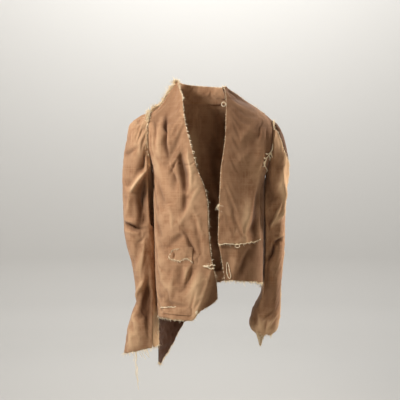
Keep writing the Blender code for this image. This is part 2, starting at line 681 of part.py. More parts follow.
def main():
    clear_scene()
    canvas = dyed("canvas", CANVAS, 0.9)
    shaded = dyed("shaded canvas", SHADED_CANVAS, 0.9)
    thread = dyed("bare thread", BARE_THREAD, 0.95)

    hems = ((RIGHT_HEM, 12),)
    right = front_panel("right", RIGHT_EDGE, RIGHT_NECK_LEVELS, hems, 14, RIGHT_FRONT_FOLDS)
    cloth("front_right", *right, canvas)
    hems = ((LAPEL_HEM, 9), (LEFT_HEM, 12 + BACK_TAIL_ROWS - 9))
    spread = (LAPEL_COLUMNS, LAPEL_SIDE)
    left = front_panel("left", LEFT_EDGE, LEFT_NECK_LEVELS, hems, 13, LEFT_FRONT_FOLDS, spread)
    cloth("front_left", *left, canvas)
    first = COLLAR_LEVELS - 1
    right_side, left_side = right[0][first:, -1, 2], left[0][first:, -1, 2]
    cloth("back", *back_panel(right_side, left_side, 22, BACK_FOLDS), canvas)
    cloth("collar_back", *collar_band(22), canvas)

    points, out = left
    rows = np.arange(len(points))[:, None]
    columns = np.arange(points.shape[1])
    under = len(LEFT_NECK_LEVELS) + len(armhole_heights("left")) - 1
    widest = np.clip(points.shape[1] - 2 - (rows - under + 1), LAPEL_COLUMNS, points.shape[1] - 2)
    keep = (columns <= widest) & (rows <= under + 9)
    lift = WALL + LAYER_GAP
    cloth("lapel_left", points + out * lift, out, canvas, keep=keep)

    flap = laid_on(right, FLAP_ACROSS, FLAP_TOP, FLAP_EDGE, 9, 4)
    cloth("pocket_flap_right", *flap, canvas, wall=PATCH_WALL)
    band = laid_on(right, BAND_ACROSS, BAND_TOP, BAND_EDGE, 9, 2)
    cloth("hem_band_right", *band, canvas, wall=PATCH_WALL)
    tab = laid_on(right, TAB_ACROSS, TAB_TOP, TAB_EDGE, 3, 1, TAB_LIFT)
    cloth("tab_right", *tab, thread, wall=PATCH_WALL)

    def steady(turn):
        return lambda rings: np.full(len(rings), float(turn))

    def vent(rings):
        last = RINGS["right"].rows[-1, 0]
        opening = ease((rings - RIGHT_VENT_START) / (last - RIGHT_VENT_START))
        return RIGHT_FRONT_SEAM + RIGHT_VENT_OPENING * opening

    def torn(rings):
        return LEFT_TORN_SEAM.read("turn", rings)

    def torn_far(rings):
        return torn(rings) + 360

    folds = RIGHT_SLEEVE_FOLDS
    top = sleeve_piece("right", steady(RIGHT_BACK_SEAM), steady(RIGHT_FRONT_SEAM), 18, folds)
    cloth("sleeve_right_top", *top, canvas)
    under = sleeve_piece("right", vent, steady(RIGHT_BACK_SEAM + 360), 18, folds)
    cloth("sleeve_right_under", *under, canvas)
    folds = LEFT_SLEEVE_FOLDS
    front = sleeve_piece("left", torn, steady(LEFT_INNER_SEAM), 20, folds, TORN_EDGE_LIFT)
    cloth("sleeve_left_front", *front, canvas)
    back = sleeve_piece("left", steady(LEFT_INNER_SEAM), torn_far, 20, folds)
    cloth("sleeve_left_back", *back, shaded)

    shoulder = len(RIGHT_NECK_LEVELS)
    line, out = right[0][:shoulder, -1], right[1][:shoulder, -1]
    middle = line + np.array((0, 1, 0)) * SEAM_GAP / 2
    fringe("fray_shoulder_right", middle, out, (0, 1, 0), FRAY["shoulder"], thread)
    points, out = left
    hem = points[-1] - out[-1] * WALL / 2
    fringe("fray_hem_left", hem, (0, 0, -1), out[-1], FRAY["hem"], thread)
    points, out = top
    cuff = points[-1, 5:] - out[-1, 5:] * WALL / 2
    fringe("fray_cuff_right", cuff, (0, 0, -1), out[-1, 5:], FRAY["cuff"], thread)


main()
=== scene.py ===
"""The looks of a ragged canvas jacket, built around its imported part.

Lengths in the tables are millimetres. Every cloth piece is a thin shell on the form of its solid,
with finer folds, puckered seams, frayed raw edges and stitching.
"""

import math

import bpy
import numpy as np
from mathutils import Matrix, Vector
from mathutils.bvhtree import BVHTree


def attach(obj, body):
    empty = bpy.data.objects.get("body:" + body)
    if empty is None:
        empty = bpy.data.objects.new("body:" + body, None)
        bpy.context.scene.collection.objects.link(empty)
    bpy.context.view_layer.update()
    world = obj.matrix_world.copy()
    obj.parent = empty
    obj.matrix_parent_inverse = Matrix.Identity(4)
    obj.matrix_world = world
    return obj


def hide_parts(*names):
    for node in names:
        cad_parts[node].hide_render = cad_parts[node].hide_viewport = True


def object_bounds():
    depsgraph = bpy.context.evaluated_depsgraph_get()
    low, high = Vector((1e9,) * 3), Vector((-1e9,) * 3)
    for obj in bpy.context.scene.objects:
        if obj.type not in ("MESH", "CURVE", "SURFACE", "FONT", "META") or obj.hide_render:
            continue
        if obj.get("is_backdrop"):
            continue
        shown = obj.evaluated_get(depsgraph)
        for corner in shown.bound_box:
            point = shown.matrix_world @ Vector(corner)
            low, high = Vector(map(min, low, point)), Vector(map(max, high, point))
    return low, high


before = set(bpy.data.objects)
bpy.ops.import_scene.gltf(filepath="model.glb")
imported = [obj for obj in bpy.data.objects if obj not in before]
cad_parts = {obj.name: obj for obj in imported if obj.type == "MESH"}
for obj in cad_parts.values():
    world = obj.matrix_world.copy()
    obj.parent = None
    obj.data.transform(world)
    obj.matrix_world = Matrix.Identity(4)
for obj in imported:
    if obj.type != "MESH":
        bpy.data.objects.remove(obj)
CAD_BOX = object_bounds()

MM = 0.001
SHELL = 1.1
SQUARENESS = 0.9


class Table:
    """Rows of numbers under named columns, read smoothly between the rows by the first column."""

    def __init__(self, columns, *rows):
        self.columns = columns
        self.rows = np.array(sorted(rows), float)

    def read(self, name, at):
        x = self.rows[:, 0]
        y = self.rows[:, self.columns.index(name)]
        step = np.diff(x)
        rise = np.diff(y) / step
        product = rise[:-1] * rise[1:]
        total = np.where(rise[:-1] + rise[1:] == 0, 1, rise[:-1] + rise[1:])
        inner = np.where(product > 0, 2 * product / total, 0)
        slope = np.concatenate((rise[:1], inner, rise[-1:]))
        at = np.clip(np.asarray(at, float), x[0], x[-1])
        i = np.clip(np.searchsorted(x, at) - 1, 0, len(step) - 1)
        t = (at - x[i]) / step[i]
        return (
            y[i] * (1 + 2 * t) * (1 - t) ** 2
            + slope[i] * step[i] * t * (1 - t) ** 2
            + y[i + 1] * t**2 * (3 - 2 * t)
            + slope[i + 1] * step[i] * t**2 * (t - 1)
        )


# Body sections from collar to tail: reach to the wearer's right and left, in front and behind,
# and the Y of the widest place
BODY = Table(
    ("z", "right", "left", "front", "back", "middle"),
    (75, 84, 58, 42, 66, 0),
    (52, 98, 68, 50, 68, 0),
    (28, 117, 100, 62, 73, 0),
    (0, 132, 138, 74, 82, 0),
    (-25, 166, 178, 86, 92, 0),
    (-49, 175, 208, 96, 102, 0),
    (-90, 180, 211, 110, 113, 0),
    (-140, 176, 206, 120, 119, 0),
    (-190, 163, 194, 126, 120, 0),
    (-215, 161, 187, 127, 120, 0),
    (-260, 158, 182, 114, 132, -14),
    (-320, 156, 180, 95, 150, -34),
    (-400, 154, 178, 86, 159, -44),
    (-500, 151, 177, 84, 163, -48),
    (-600, 146, 176, 85, 166, -48),
    (-810, 143, 176, 87, 170, -48),
)
SIDE_SEAM = Table(("below", "turn"), (0, 90), (45, 95), (105, 104), (185, 108), (600, 108))

# Armholes: the shoulder tip, the underarm, the Y of the front and back, and how far it bows out
ARMHOLES = {
    "right": {"side": -1, "tip": -25, "underarm": -190, "front": -60, "back": 60, "bow": -9},
    "left": {"side": 1, "tip": -49, "underarm": -215, "front": -60, "back": 60, "bow": 6},
}

# Sleeve rings below the armhole: the outer point, the inner point, the Y of the front and back,
# and how far the ring bows out
RING_COLUMNS = ("number", "outer_x", "outer_z", "inner_x", "inner_z", "front", "back", "bow")
RIGHT_RINGS = (
    (1, -192, -29, -163.6, -199, -65, 66, -8),
    (2, -214, -42, -162.8, -210, -66, 70, -5),
    (3, -231, -61, -161.6, -223, -64, 73, -2),
    (4, -240, -92, -159.8, -240, -60, 75, 0),
    (5, -249, -138, -158, -262, -56, 76, 0),
    (6, -254, -190, -156.2, -288, -52, 76, 0),
    (7, -257, -248, -154.5, -318, -48, 76, 0),
    (8, -255, -312, -152, -356, -45, 76, 0),
    (9, -252, -380, -150, -402, -42, 77, 0),
    (10, -243, -438, -149, -446, -40, 78, 0),
    (11, -229, -488, -148, -492, -38, 78, 0),
    (12, -219, -545, -147, -546, -36, 76, 0),
    (13, -214, -597, -145, -596, -35, 72, 0),
    (14, -226, -640, -144, -636, -34, 66, 0),
    (15, -241, -700, -143, -688, -34, 58, 0),
    (16, -251, -769, -143, -745, -32, 52, 0),
)
LEFT_RINGS = (
    (1, 222, -58, 188, -222, -65, 66, 5),
    (2, 235, -78, 186, -233, -65, 70, 3),
    (3, 247, -108, 183.4, -248, -62, 73, 1),
    (4, 255, -140, 181, -266, -58, 75, 0),
    (5, 259, -172, 179.4, -285, -54, 76, 0),
    (6, 257, -215, 179, -307, -50, 76, 0),
    (7, 251, -262, 180, -333, -47, 76, 0),
    (8, 249, -322, 181, -368, -44, 76, 0),
    (9, 248, -385, 181, -411, -42, 76, 0),
    (10, 247, -434, 181, -451, -40, 76, 0),
    (11, 243, -480, 181, -491, -38, 76, 0),
    (12, 240, -522, 180, -532, -36, 76, 0),
    (13, 237, -566, 175, -577, -36, 74, 0),
    (14, 236, -602, 162, -606, -38, 70, 0),
    (15, 234, -636, 150, -628, -40, 64, 0),
    (16, 231, -663, 141, -655, -42, 58, 0),
    (17, 227, -684, 137, -676, -42, 54, 0),
    (18, 219, -699, 143, -694, -36, 44, 0),
    (19, 206, -709, 158, -707, -24, 30, 0),
)
SLEEVE_SQUARENESS = 0.85
SLEEVE_SQUARE_FROM = 3
CUFF_POINT = Table(("number", "drop"), (0, 0), (16.5, 0), (18, 10), (19, 34))
CUFF_POINT_TURN = 114
CUFF_POINT_WIDTH = 28
CUFF_POINT_POWER = 1.5
GATHER_PLEATS = 9
GATHER_DEPTH = 2.2
GATHER_FROM = 16.9

# Front edges: the X of the raw edge at each height
RIGHT_EDGE = Table(
    ("z", "x"),
    (75, -82),
    (50, -77),
    (20, -67),
    (-33, -64),
    (-83, -55),
    (-144, -39),
    (-205, -22),
    (-271, 2),
    (-310, 8),
    (-386, 11),
    (-481, 21),
    (-550, 36),
    (-592, 39),
    (-660, 39),
)
LEFT_EDGE = Table(
    ("z", "x"),
    (56, 56),
    (0, 64),
    (-33, 62),
    (-90, 61),
    (-143, 55),
    (-207, 46),
    (-270, 43),
    (-305, 41),
    (-420, 38),
    (-436, 42),
    (-514, 55),
    (-560, 60),
)

# Hems: the height of the raw edge, by the share of the panel's width
RIGHT_HEM = Table(
    ("share", "z"),
    (0, -592),
    (0.05, -607),
    (0.14, -628),
    (0.21, -652),
    (0.43, -651),
    (1, -644),
)
LEFT_HEM = Table(("share", "z"), (0, -534), (0.2, -536), (0.55, -544), (1, -549))
BACK_HEM = Table(
    ("share", "z"),
    (0, -798),
    (0.04, -806),
    (0.09, -796),
    (0.2, -757),
    (0.31, -695),
    (0.42, -640),
    (0.5, -594),
    (0.58, -560),
    (0.7, -550),
    (1, -549),
)
# The loose upper layer on the left front: its raw bottom edge and its side edge
LAPEL_HEM = Table(("share", "z"), (0, -426), (0.5, -424), (0.75, -421), (1, -412))
LAPEL_SIDE = Table(
    ("z", "share"),
    (56, 0.92),
    (-203, 0.92),
    (-215, 0.85),
    (-237, 0.76),
    (-259, 0.65),
    (-300, 0.6),
    (-412, 0.56),
    (-430, 0.56),
)
LAPEL_LIFT = 2.9

COLLAR_SEAM = 12
RIGHT_NECK_LEVELS = (75, 52, 28, COLLAR_SEAM, -2, -14)
LEFT_NECK_LEVELS = (56, 40, 26, COLLAR_SEAM, -9, -30)
COLLAR_LEVELS = 4

# Folds, as seen from in front or behind: a line from a to b, the width of its slope on the right
# and left hand going from a to b, and its height, which is below 0 for a trough
FOLD_COLUMNS = ("ax", "az", "bx", "bz", "right", "left", "height")
RIGHT_FRONT_FOLDS = (
    (-127, -20, -112, -168, 6, 9, -6),
    (-139, -30, -137, -200, 10, 9, 5),
    (-100, -189, -87, -272, 9, 9, -6),
    (-75, -149, -53, -279, 12, 10, -10),
    (-53, -279, -60, -335, 11, 10, -6),
    (-57, -140, -17, -300, 16, 16, 6),
    (-79, -341, -45, -452, 10, 10, 7),
    (-70, -363, -28, -466, 8, 16, -9),
    (-65, -394, -102, -424, 10, 10, -6),
    (-76, -486, -74, -558, 10, 10, -6),
    (-57, -490, -57, -545, 9, 9, 8),
    (-43, -492, -60, -568, 9, 9, -8),
    (-18, -505, -42, -640, 18, 16, 9),
)
LEFT_FRONT_FOLDS = (
    (160, -36, 92, -140, 14, 14, 6),
    (146, -140, 74, -210, 10, 10, 5),
    (171, -70, 160, -190, 10, 10, 5),
    (160, -150, 146, -262, 18, 18, 8),
    (142, -245, 101, -440, 20, 20, 8),
    (164, -250, 138, -440, 14, 15, -11),
    (96, -440, 80, -530, 14, 12, 7),
    (140, -440, 96, -530, 12, 10, -8),
)
BACK_FOLDS = (
    (-110, -60, -60, -330, 26, 26, -8),
    (-40, -40, -30, -420, 24, 24, 7),
    (30, -90, 20, -560, 26, 26, -8),
    (95, -70, 70, -360, 24, 24, 7),
    (140, -250, 110, -540, 22, 22, -8),
    (-90, -380, -120, -740, 24, 24, 9),
    (-30, -440, -60, -640, 22, 22, -7),
)
RIGHT_SLEEVE_FOLDS = (
    (-180, -130, -186, -218, 7, 18, -8),
    (-160, -172, -221, -265, 11, 11, 8),
    (-164, -226, -166, -368, 14, 24, -13),
    (-246, -376, -196, -376, 9, 9, -7),
    (-188, -430, -210, -586, 16, 16, 4),
    (-166, -500, -182, -620, 14, 14, -4),
    (-196, -650, -206, -756, 18, 18, 5),
)
LEFT_SLEEVE_FOLDS = (
    (228, -233, 244, -312, 10, 10, 6),
    (243, -320, 204, -380, 8, 10, 7),
    (203, -200, 198, -300, 12, 12, -6),
    (246, -410, 218, -432, 9, 9, -4),
    (218, -432, 184, -484, 8, 8, -4),
    (212, -500, 204, -620, 16, 16, 5),
)
# Creases, in the same columns, that are too fine for the solids
RIGHT_FRONT_CREASES = (
    (-127, -34, -112, -172, 3, 5, -5),
    (-73, -150, -56, -272, 5, 9, -8),
    (-56, -272, -60, -330, 5, 8, -4),
    (-52, -150, -40, -270, 6, 6, 3),
    (-118, -60, -104, -150, 5, 5, 3),
    (-90, -450, -93, -470, 3, 3, -6),
    (-105, -178, -88, -218, 3, 4, 4.5),
    (-84, -176, -104, -212, 3, 4, -4.5),
    (-96, -200, -84, -250, 6, 4, -4),
    (-150, -40, -154, -160, 4, 4, -4),
    (-82, -352, -24, -462, 2.5, 5, -5),
    (-24, -462, -22, -486, 2.5, 4, -3),
    (-40, -300, 2, -420, 6, 6, 3),
    (-33, -330, -8, -470, 5, 8, -3),
    (-112, -300, -92, -390, 7, 7, 3),
    (-138, -230, -128, -330, 7, 7, -3),
    (-146, -420, -120, -560, 8, 8, 3),
    (-120, -560, -96, -640, 7, 7, -3),
    (-96, -500, -104, -600, 6, 6, 3),
    (-30, -560, -50, -640, 5, 5, -3),
)
LEFT_FRONT_CREASES = (
    (128, -34, 96, -96, 7, 9, -2),
    (118, -60, 72, -120, 9, 9, 2),
    (108, -170, 64, -250, 12, 12, -2),
    (166, -130, 152, -262, 10, 14, 6),
    (147, -235, 112, -425, 8, 14, 5),
    (78, -310, 70, -420, 8, 8, 2),
    (166, -60, 158, -120, 4, 4, -3),
    (186, -60, 182, -140, 4, 4, -3),
    (66, -450, 64, -540, 6, 6, -3),
    (132, -446, 98, -520, 4, 8, -4),
)
BACK_CREASES = (
    (-150, -60, -90, -150, 8, 8, 3),
    (-130, -160, -90, -260, 7, 7, -3),
    (-70, -300, -96, -460, 8, 8, -3),
    (0, -120, 30, -300, 9, 9, 3),
    (60, -300, 90, -500, 8, 8, -3),
    (150, -100, 120, -220, 7, 7, 3),
    (-60, -560, -96, -700, 7, 7, 4),
)
RIGHT_SLEEVE_CREASES = (
    (-190, -540, -210, -612, 12, 16, 6),
    (-210, -606, -232, -760, 14, 12, 6),
    (-158, -560, -160, -730, 12, 32, -10),
    (-158, -212, -160, -374, 12, 36, -30),
    (-150, -380, -190, -372, 6, 6, 5),
    (-232, -250, -238, -350, 9, 9, 5),
    (-172, -136, -185, -216, 3, 9, -5),
    (-246, -150, -206, -132, 4, 6, -2.5),
    (-158, -170, -226, -272, 4, 9, 8),
    (-189, -236, -191, -366, 4, 5, 4),
    (-250, -373, -192, -379, 4, 7, -13),
    (-246, -360, -198, -362, 7, 5, 4),
    (-246, -388, -200, -390, 5, 8, 4),
    (-194, -376, -196, -408, 3, 3, -4),
    (-206, -420, -186, -408, 3, 4, -3),
    (-186, -408, -188, -500, 3, 6, 2),
    (-188, -540, -214, -604, 4, 8, 4),
    (-236, -196, -226, -330, 8, 8, -3),
    (-226, -460, -204, -560, 6, 6, -3),
    (-210, -612, -180, -648, 5, 5, -4),
    (-222, -664, -216, -740, 8, 8, -3),
    (-186, -640, -180, -730, 7, 7, 3),
)
LEFT_SLEEVE_CREASES = (
    (231, -305, 204, -378, 3, 4, 7),
    (244, -300, 232, -352, 4, 4, 4),
    (243, -412, 217, -428, 3, 4, -12),
    (217, -428, 184, -482, 3, 5, -12),
    (243, -400, 212, -416, 4, 4, 4),
    (230, -190, 244, -300, 9, 7, 6),
    (206, -90, 200, -150, 6, 6, -3),
    (220, -90, 226, -150, 5, 5, 3),
    (206, -470, 200, -560, 9, 9, 3),
    (210, -630, 176, -660, 6, 6, -4),
    (226, -640, 196, -684, 5, 5, 4),
    (190, -660, 178, -704, 4, 4, -4),
    (160, -640, 168, -700, 5, 5, 3),
)
# Beyond this line the lower corner of the right front turns back out of the light
TURNED_LINE = Table(("z", "x"), (-690, -48), (-652, -31), (-567, 2), (-501, 23), (-470, 38))
TURNED_SLOPE = 0.5

RIGHT_FRONT_SEAM = 126
RIGHT_BACK_SEAM = -108
RIGHT_VENT_START = 12.6
RIGHT_VENT_OPENING = 3
LEFT_TORN_SEAM = Table(
    ("number", "turn"),
    (0, 38),
    (1, 49),
    (2, 56),
    (3, 55),
    (4, 46),
    (5, 31),
    (6, 16),
    (8, 5),
    (19, 3),
)
LEFT_INNER_SEAM = 198
TORN_EDGE_LIFT = 3.0
TORN_END = 8

FLAP_ACROSS = (-109, -38)
FLAP_TOP = Table(("x", "z"), (-109, -438), (-38, -434))
FLAP_EDGE = Table(("x", "z"), (-109, -462), (-96, -473), (-76, -475), (-56, -468), (-38, -479))
BAND_ACROSS = (-128, -42)
BAND_TOP = Table(("x", "z"), (-128, -614), (-42, -615))
BAND_EDGE = Table(("x", "z"), (-128, -634), (-42, -637))
TAB_ACROSS = (1, 18)
TAB_TOP = Table(("x", "z"), (1, -484), (18, -481))
TAB_EDGE = Table(("x", "z"), (1, -493), (18, -491))


def unit(vectors):
    length = np.linalg.norm(vectors, axis=-1, keepdims=True)
    return vectors / np.where(length == 0, 1, length)


def ease(x):
    """0 below 0, 1 above 1 and smooth between."""
    x = np.clip(x, 0, 1)
    return x * x * (3 - 2 * x)


def body_point(angle, z):
    """A point of the body. The angle is 0 in front, 90 on the wearer's left and 180 behind."""
    turn = np.radians(angle)
    across, along = np.sin(turn), np.cos(turn)
    reach = np.where(across < 0, BODY.read("right", z), BODY.read("left", z))
    depth = np.where(along < 0, BODY.read("back", z), BODY.read("front", z))
    x = reach * np.sign(across) * abs(across) ** SQUARENESS
    y = BODY.read("middle", z) - depth * np.sign(along) * abs(along) ** SQUARENESS
    return np.stack(np.broadcast_arrays(x, y, z), axis=-1)


def body_angle(x, y, z):
    reach = np.where(np.asarray(x) < 0, BODY.read("right", z), BODY.read("left", z))
    forward = BODY.read("middle", z) - y
    depth = np.where(forward < 0, BODY.read("back", z), BODY.read("front", z))
    across = np.sign(x) * abs(x / reach) ** (1 / SQUARENESS)
    along = np.sign(forward) * abs(forward / depth) ** (1 / SQUARENESS)
    return np.degrees(np.arctan2(across, along))


def front_angle(x, z):
    reach = np.where(np.asarray(x) < 0, BODY.read("right", z), BODY.read("left", z))
    share = np.clip(abs(x / reach), 0, 1) ** (1 / SQUARENESS)
    return np.degrees(np.sign(x) * np.arcsin(share))


def body_normal(angle, z):
    turn, rise = 1.0, 1.5
    round_it = body_point(angle + turn, z) - body_point(angle - turn, z)
    up_it = body_point(angle, z + rise) - body_point(angle, z - rise)
    return unit(np.cross(round_it, up_it))


def ring_table(name):
    hole = ARMHOLES[name]
    column = "right" if hole["side"] < 0 else "left"
    tip_x = hole["side"] * float(BODY.read(column, hole["tip"]))
    under_x = hole["side"] * float(BODY.read(column, hole["underarm"]))
    armhole = (0, tip_x, hole["tip"], under_x, hole["underarm"], hole["front"], hole["back"], hole["bow"])
    return Table(RING_COLUMNS, armhole, *(RIGHT_RINGS if name == "right" else LEFT_RINGS))


RINGS = {name: ring_table(name) for name in ARMHOLES}


def cuff_drop(number, turn):
    """How far the torn point of the left cuff hangs below its ring."""
    place = (turn - CUFF_POINT_TURN) / CUFF_POINT_WIDTH
    return CUFF_POINT.read("drop", number) * np.clip(1 - abs(place) ** CUFF_POINT_POWER, 0, 1)


def sleeve_point(name, number, turn):
    """A point of a sleeve: 0 degrees is its outer side, 90 its front and 180 its inner side."""
    rings = RINGS[name]
    at = {c: rings.read(c, number) for c in RING_COLUMNS[1:]}
    power = 1 + (SLEEVE_SQUARENESS - 1) * ease(number / SLEEVE_SQUARE_FROM)
    turn = np.radians(turn)
    out, forward = (np.sign(s) * abs(s) ** power for s in (np.cos(turn), np.sin(turn)))
    x = (at["outer_x"] + at["inner_x"]) / 2 + (at["outer_x"] - at["inner_x"]) / 2 * out
    y = (at["front"] + at["back"]) / 2 + (at["front"] - at["back"]) / 2 * forward
    z = (at["outer_z"] + at["inner_z"]) / 2 + (at["outer_z"] - at["inner_z"]) / 2 * out
    if name == "left":
        z = z - cuff_drop(number, np.degrees(turn))
    return np.stack((x + at["bow"] * forward**2, y, z), axis=-1)


def sleeve_normal(name, number, turn):
    side = ARMHOLES[name]["side"]
    round_it = sleeve_point(name, number, turn + 2) - sleeve_point(name, number, turn - 2)
    low = np.maximum(number - 0.05, 0)
    along_it = sleeve_point(name, low + 0.1, turn) - sleeve_point(name, low, turn)
    return -side * unit(np.cross(along_it, round_it))


def lattice(x, y, cell, seed):
    """Smooth noise from -1 to 1 with features of one cell."""
    values = np.random.default_rng(seed).uniform(-1, 1, (256, 256))
    gx, gy = x / cell + 128, y / cell + 128
    ix, iy = np.floor(gx).astype(int), np.floor(gy).astype(int)
    tx, ty = ease(gx - ix), ease(gy - iy)
    a, b = values[ix % 256, iy % 256], values[(ix + 1) % 256, iy % 256]
    c, d = values[ix % 256, (iy + 1) % 256], values[(ix + 1) % 256, (iy + 1) % 256]
    return (a * (1 - tx) + b * tx) * (1 - ty) + (c * (1 - tx) + d * tx) * ty


def fold_heights(points, facing, folds, seed, strength=1.0):
    """The height of all folds at points seen along Y. Facing weakens them where the cloth turns away.

    The lines wander a little, so that no fold is straight.
    """
    total = np.zeros(points.shape[:-1])
    x, z = points[..., 0], points[..., 2]
    sway = np.stack((lattice(x, z, 42, seed), lattice(x, z, 42, seed + 1)), axis=-1)
    place = points[..., (0, 2)] + sway * FOLD_WANDER
    for row in folds:
        fold = dict(zip(FOLD_COLUMNS, row))
        start = np.array((fold["ax"], fold["az"]))
        run = np.array((fold["bx"], fold["bz"])) - start
        along = np.clip((place - start) @ run / (run @ run), 0, 1)
        off = place - start - along[..., None] * run
        right_hand = off[..., 0] * run[1] - off[..., 1] * run[0] < 0
        width = np.where(right_hand, fold["right"], fold["left"])
        swell = np.sin(math.pi * (0.02 + 0.96 * along)) ** 0.6
        total += fold["height"] * swell * np.exp(-(off**2).sum(-1) / width**2)
    return total * strength * ease(facing * 2)


# Sideways wander of the fold lines, and the strength of each piece's folds
FOLD_WANDER = 5.0
CHEST_FOLDS = 1.0
CHEST_CREASES = 1.3
LAPEL_FOLDS = 0.55
SLEEVE_FOLDS = 1.3


def unevenness(across, down, seed):
    """Soft dents and slight wrinkles of handled cloth."""
    broad = lattice(across, down * 0.6, 62, seed) * 1.4
    middle = lattice(across + down * 0.3, down * 0.7 - across * 0.2, 27, seed + 1) * 0.6
    ridged = 1 - abs(lattice(across * 0.9 + down * 0.5, down * 0.8 - across * 0.4, 19, seed + 2)) * 2
    fine = lattice(across, down, 8, seed + 3) * 0.25
    return broad + middle + ridged**3 * 0.5 + fine


def spans(points, axis):
    """How far along the rows or columns of a grid each point lies."""
    steps = np.linalg.norm(np.diff(points, axis=axis), axis=-1)
    shape = list(steps.shape)
    shape[axis] = 1
    return np.concatenate((np.zeros(shape), np.cumsum(steps, axis=axis)), axis=axis)


def edge_distances(points):
    """The distance of each point of a grid from the first and last column and the first and last row."""
    across, down = spans(points, 1), spans(points, 0)
    return {
        "first": across,
        "last": across[:, -1:] - across,
        "top": down,
        "bottom": down[-1:] - down,
    }


def shaped(base, out, raised, seed, raw=(), seams=(), spread=None, rough=1.0):
    """A finished grid: folds, unevenness, puckered seams and slightly torn raw edges.

    Spread is how far across and down each point lies, for the noise.
    """
    reach = edge_distances(base)
    across, down = spread or (reach["first"], reach["top"])
    far = np.full(base.shape[:-1], 1e3)
    seam = np.minimum.reduce([far, *(reach[name] for name in seams)])
    frayed = np.minimum.reduce([far, *(reach[name] for name in raw)])
    height = (raised + rough * unevenness(across, down, seed)) * ease(seam / 24)
    along = np.where(np.minimum(reach["first"], reach["last"]) < reach["top"], down, across)
    pucker = lattice(along, seam * 0.3, 11, seed + 9) * 1.8 + lattice(along, seam * 0.3, 5, seed + 8) * 0.6
    height += pucker * np.exp(-seam / 10) * ease(seam / 3)
    points = base + out * height[..., None]
    ragged = np.exp(-frayed / 5)
    if "bottom" in raw:
        wave = lattice(across, down * 0, 6, seed + 5) * 1.4 + lattice(across, down * 0, 31, seed + 6) * 2
        points[..., 2] += ragged * wave
    curl = lattice(across + down, across - down, 14, seed + 7) * np.exp(-frayed / 8) * 2.2
    points += out * curl[..., None]
    # Paler on raised folds, partly rubbed wear and partly painted highlight, and darker in troughs, painted
    # shade
    worn = np.clip(height / 9, -1, 1)
    level = np.minimum.reduce([far, *(reach[name] for name in raw if name in ("top", "bottom"))])
    beside = np.where(level <= frayed, across, down)
    patchy = np.clip(0.55 + lattice(beside, beside * 0, 8, seed + 4) * 1.2, 0.1, 1)
    return points, out, {"raw": patchy * np.exp(-((frayed / 1.8) ** 2)), "worn": worn}


def dense(levels, parts):
    levels = np.asarray(levels, float)
    steps = [np.linspace(a, b, parts + 1)[:-1] for a, b in zip(levels, levels[1:])]
    return np.concatenate((*steps, levels[-1:]))


ARMHOLE_ROWS = 40
TURN_STEP = 3.0
NECK_PARTS = 4


def armhole_heights(name):
    """Levels from the shoulder tip to the underarm, closer together near both."""
    hole = ARMHOLES[name]
    even = np.linspace(0, 1, ARMHOLE_ROWS + 1)
    share = 0.25 * even + 0.75 * (1 - np.cos(math.pi * even)) / 2
    return hole["tip"] + (hole["underarm"] - hole["tip"]) * share


def armhole_edge(name, z, front):
    hole = ARMHOLES[name]
    middle, half = (hole["tip"] + hole["underarm"]) / 2, (hole["tip"] - hole["underarm"]) / 2
    turn = np.degrees(np.arccos(np.clip((z - middle) / half, -1, 1)))
    return sleeve_point(name, np.zeros_like(turn), turn if front else -turn)


def lower_heights(start, end, rows):
    return start + (end - start) * np.linspace(0, 1, rows + 1)[1:, None]


def seam_pull(name, z, angle, front):
    """The seam's angle at each height, and how far the panel's side edge is pulled to meet the armhole."""
    hole = ARMHOLES[name]
    inside = (z < hole["tip"] - 0.1) & (z > hole["underarm"] + 0.1)
    target = armhole_edge(name, z, front)
    seam = body_angle(target[..., 0], target[..., 1], z)
    if not front:
        seam = np.where(seam > 0, seam - 360, seam)
    seam = np.where(inside, seam, angle)
    pull = np.where(inside[..., None], target - body_point(seam, z), 0)
    return seam, pull


def side_turn(name, z):
    return SIDE_SEAM.read("turn", ARMHOLES[name]["underarm"] - z)


# The cloth rounds the edge of the shoulder over this height, in so many rounds of smoothing
TIP_REACH = 24.0
TIP_ROUNDING = 40


def front_base(name, edge, z, share):
    """Points and directions of a front without its folds."""
    side = ARMHOLES[name]["side"]
    seam, pull = seam_pull(name, z, side * side_turn(name, z), front=True)
    first = front_angle(edge.read("x", z), z)
    angle = first + (seam - first) * share
    base = body_point(angle, z) + pull * ease((share - 0.35) / 0.65)[..., None]
    near = np.exp(-(((z - ARMHOLES[name]["tip"]) / TIP_REACH) ** 2)) * ease((1 - share) / 0.12)
    for _ in range(TIP_ROUNDING):
        middle = (base[:-2] + base[2:]) / 2
        base[1:-1] += (middle - base[1:-1]) * near[1:-1, :, None]
    return base, body_normal(angle, z)


def front_levels(name, neck_levels, columns, hems):
    share = np.linspace(0, 1, columns + 1)
    levels = np.concatenate((dense(neck_levels, NECK_PARTS), armhole_heights(name)))
    z = np.repeat(levels[:, None], columns + 1, axis=1)
    for hem, rows in hems:
        z = np.concatenate((z, lower_heights(z[-1], hem.read("z", share), rows)))
    return z, share + 0 * z


def right_front_raise(base, out):
    """Folds of the right front, and the turned corner."""
    raised = fold_heights(base, -out[..., 1], RIGHT_FRONT_FOLDS, 40, CHEST_FOLDS)
    raised += fold_heights(base, -out[..., 1], RIGHT_FRONT_CREASES, 40, CHEST_CREASES)
    x, z = base[..., 0], base[..., 2]
    beyond = x - TURNED_LINE.read("x", z)
    turned = np.where(z < -470, 1, 0) * ease((-470 - z) / 50)
    raised -= turned * TURNED_SLOPE * np.logaddexp(0, beyond / 5) * 5
    raised += turned * 4 * np.exp(-((beyond + 4) ** 2) / 60)
    return raised


def left_front_raise(base, out):
    return fold_heights(base, -out[..., 1], LEFT_FRONT_FOLDS + LEFT_FRONT_CREASES, 50, LAPEL_FOLDS)


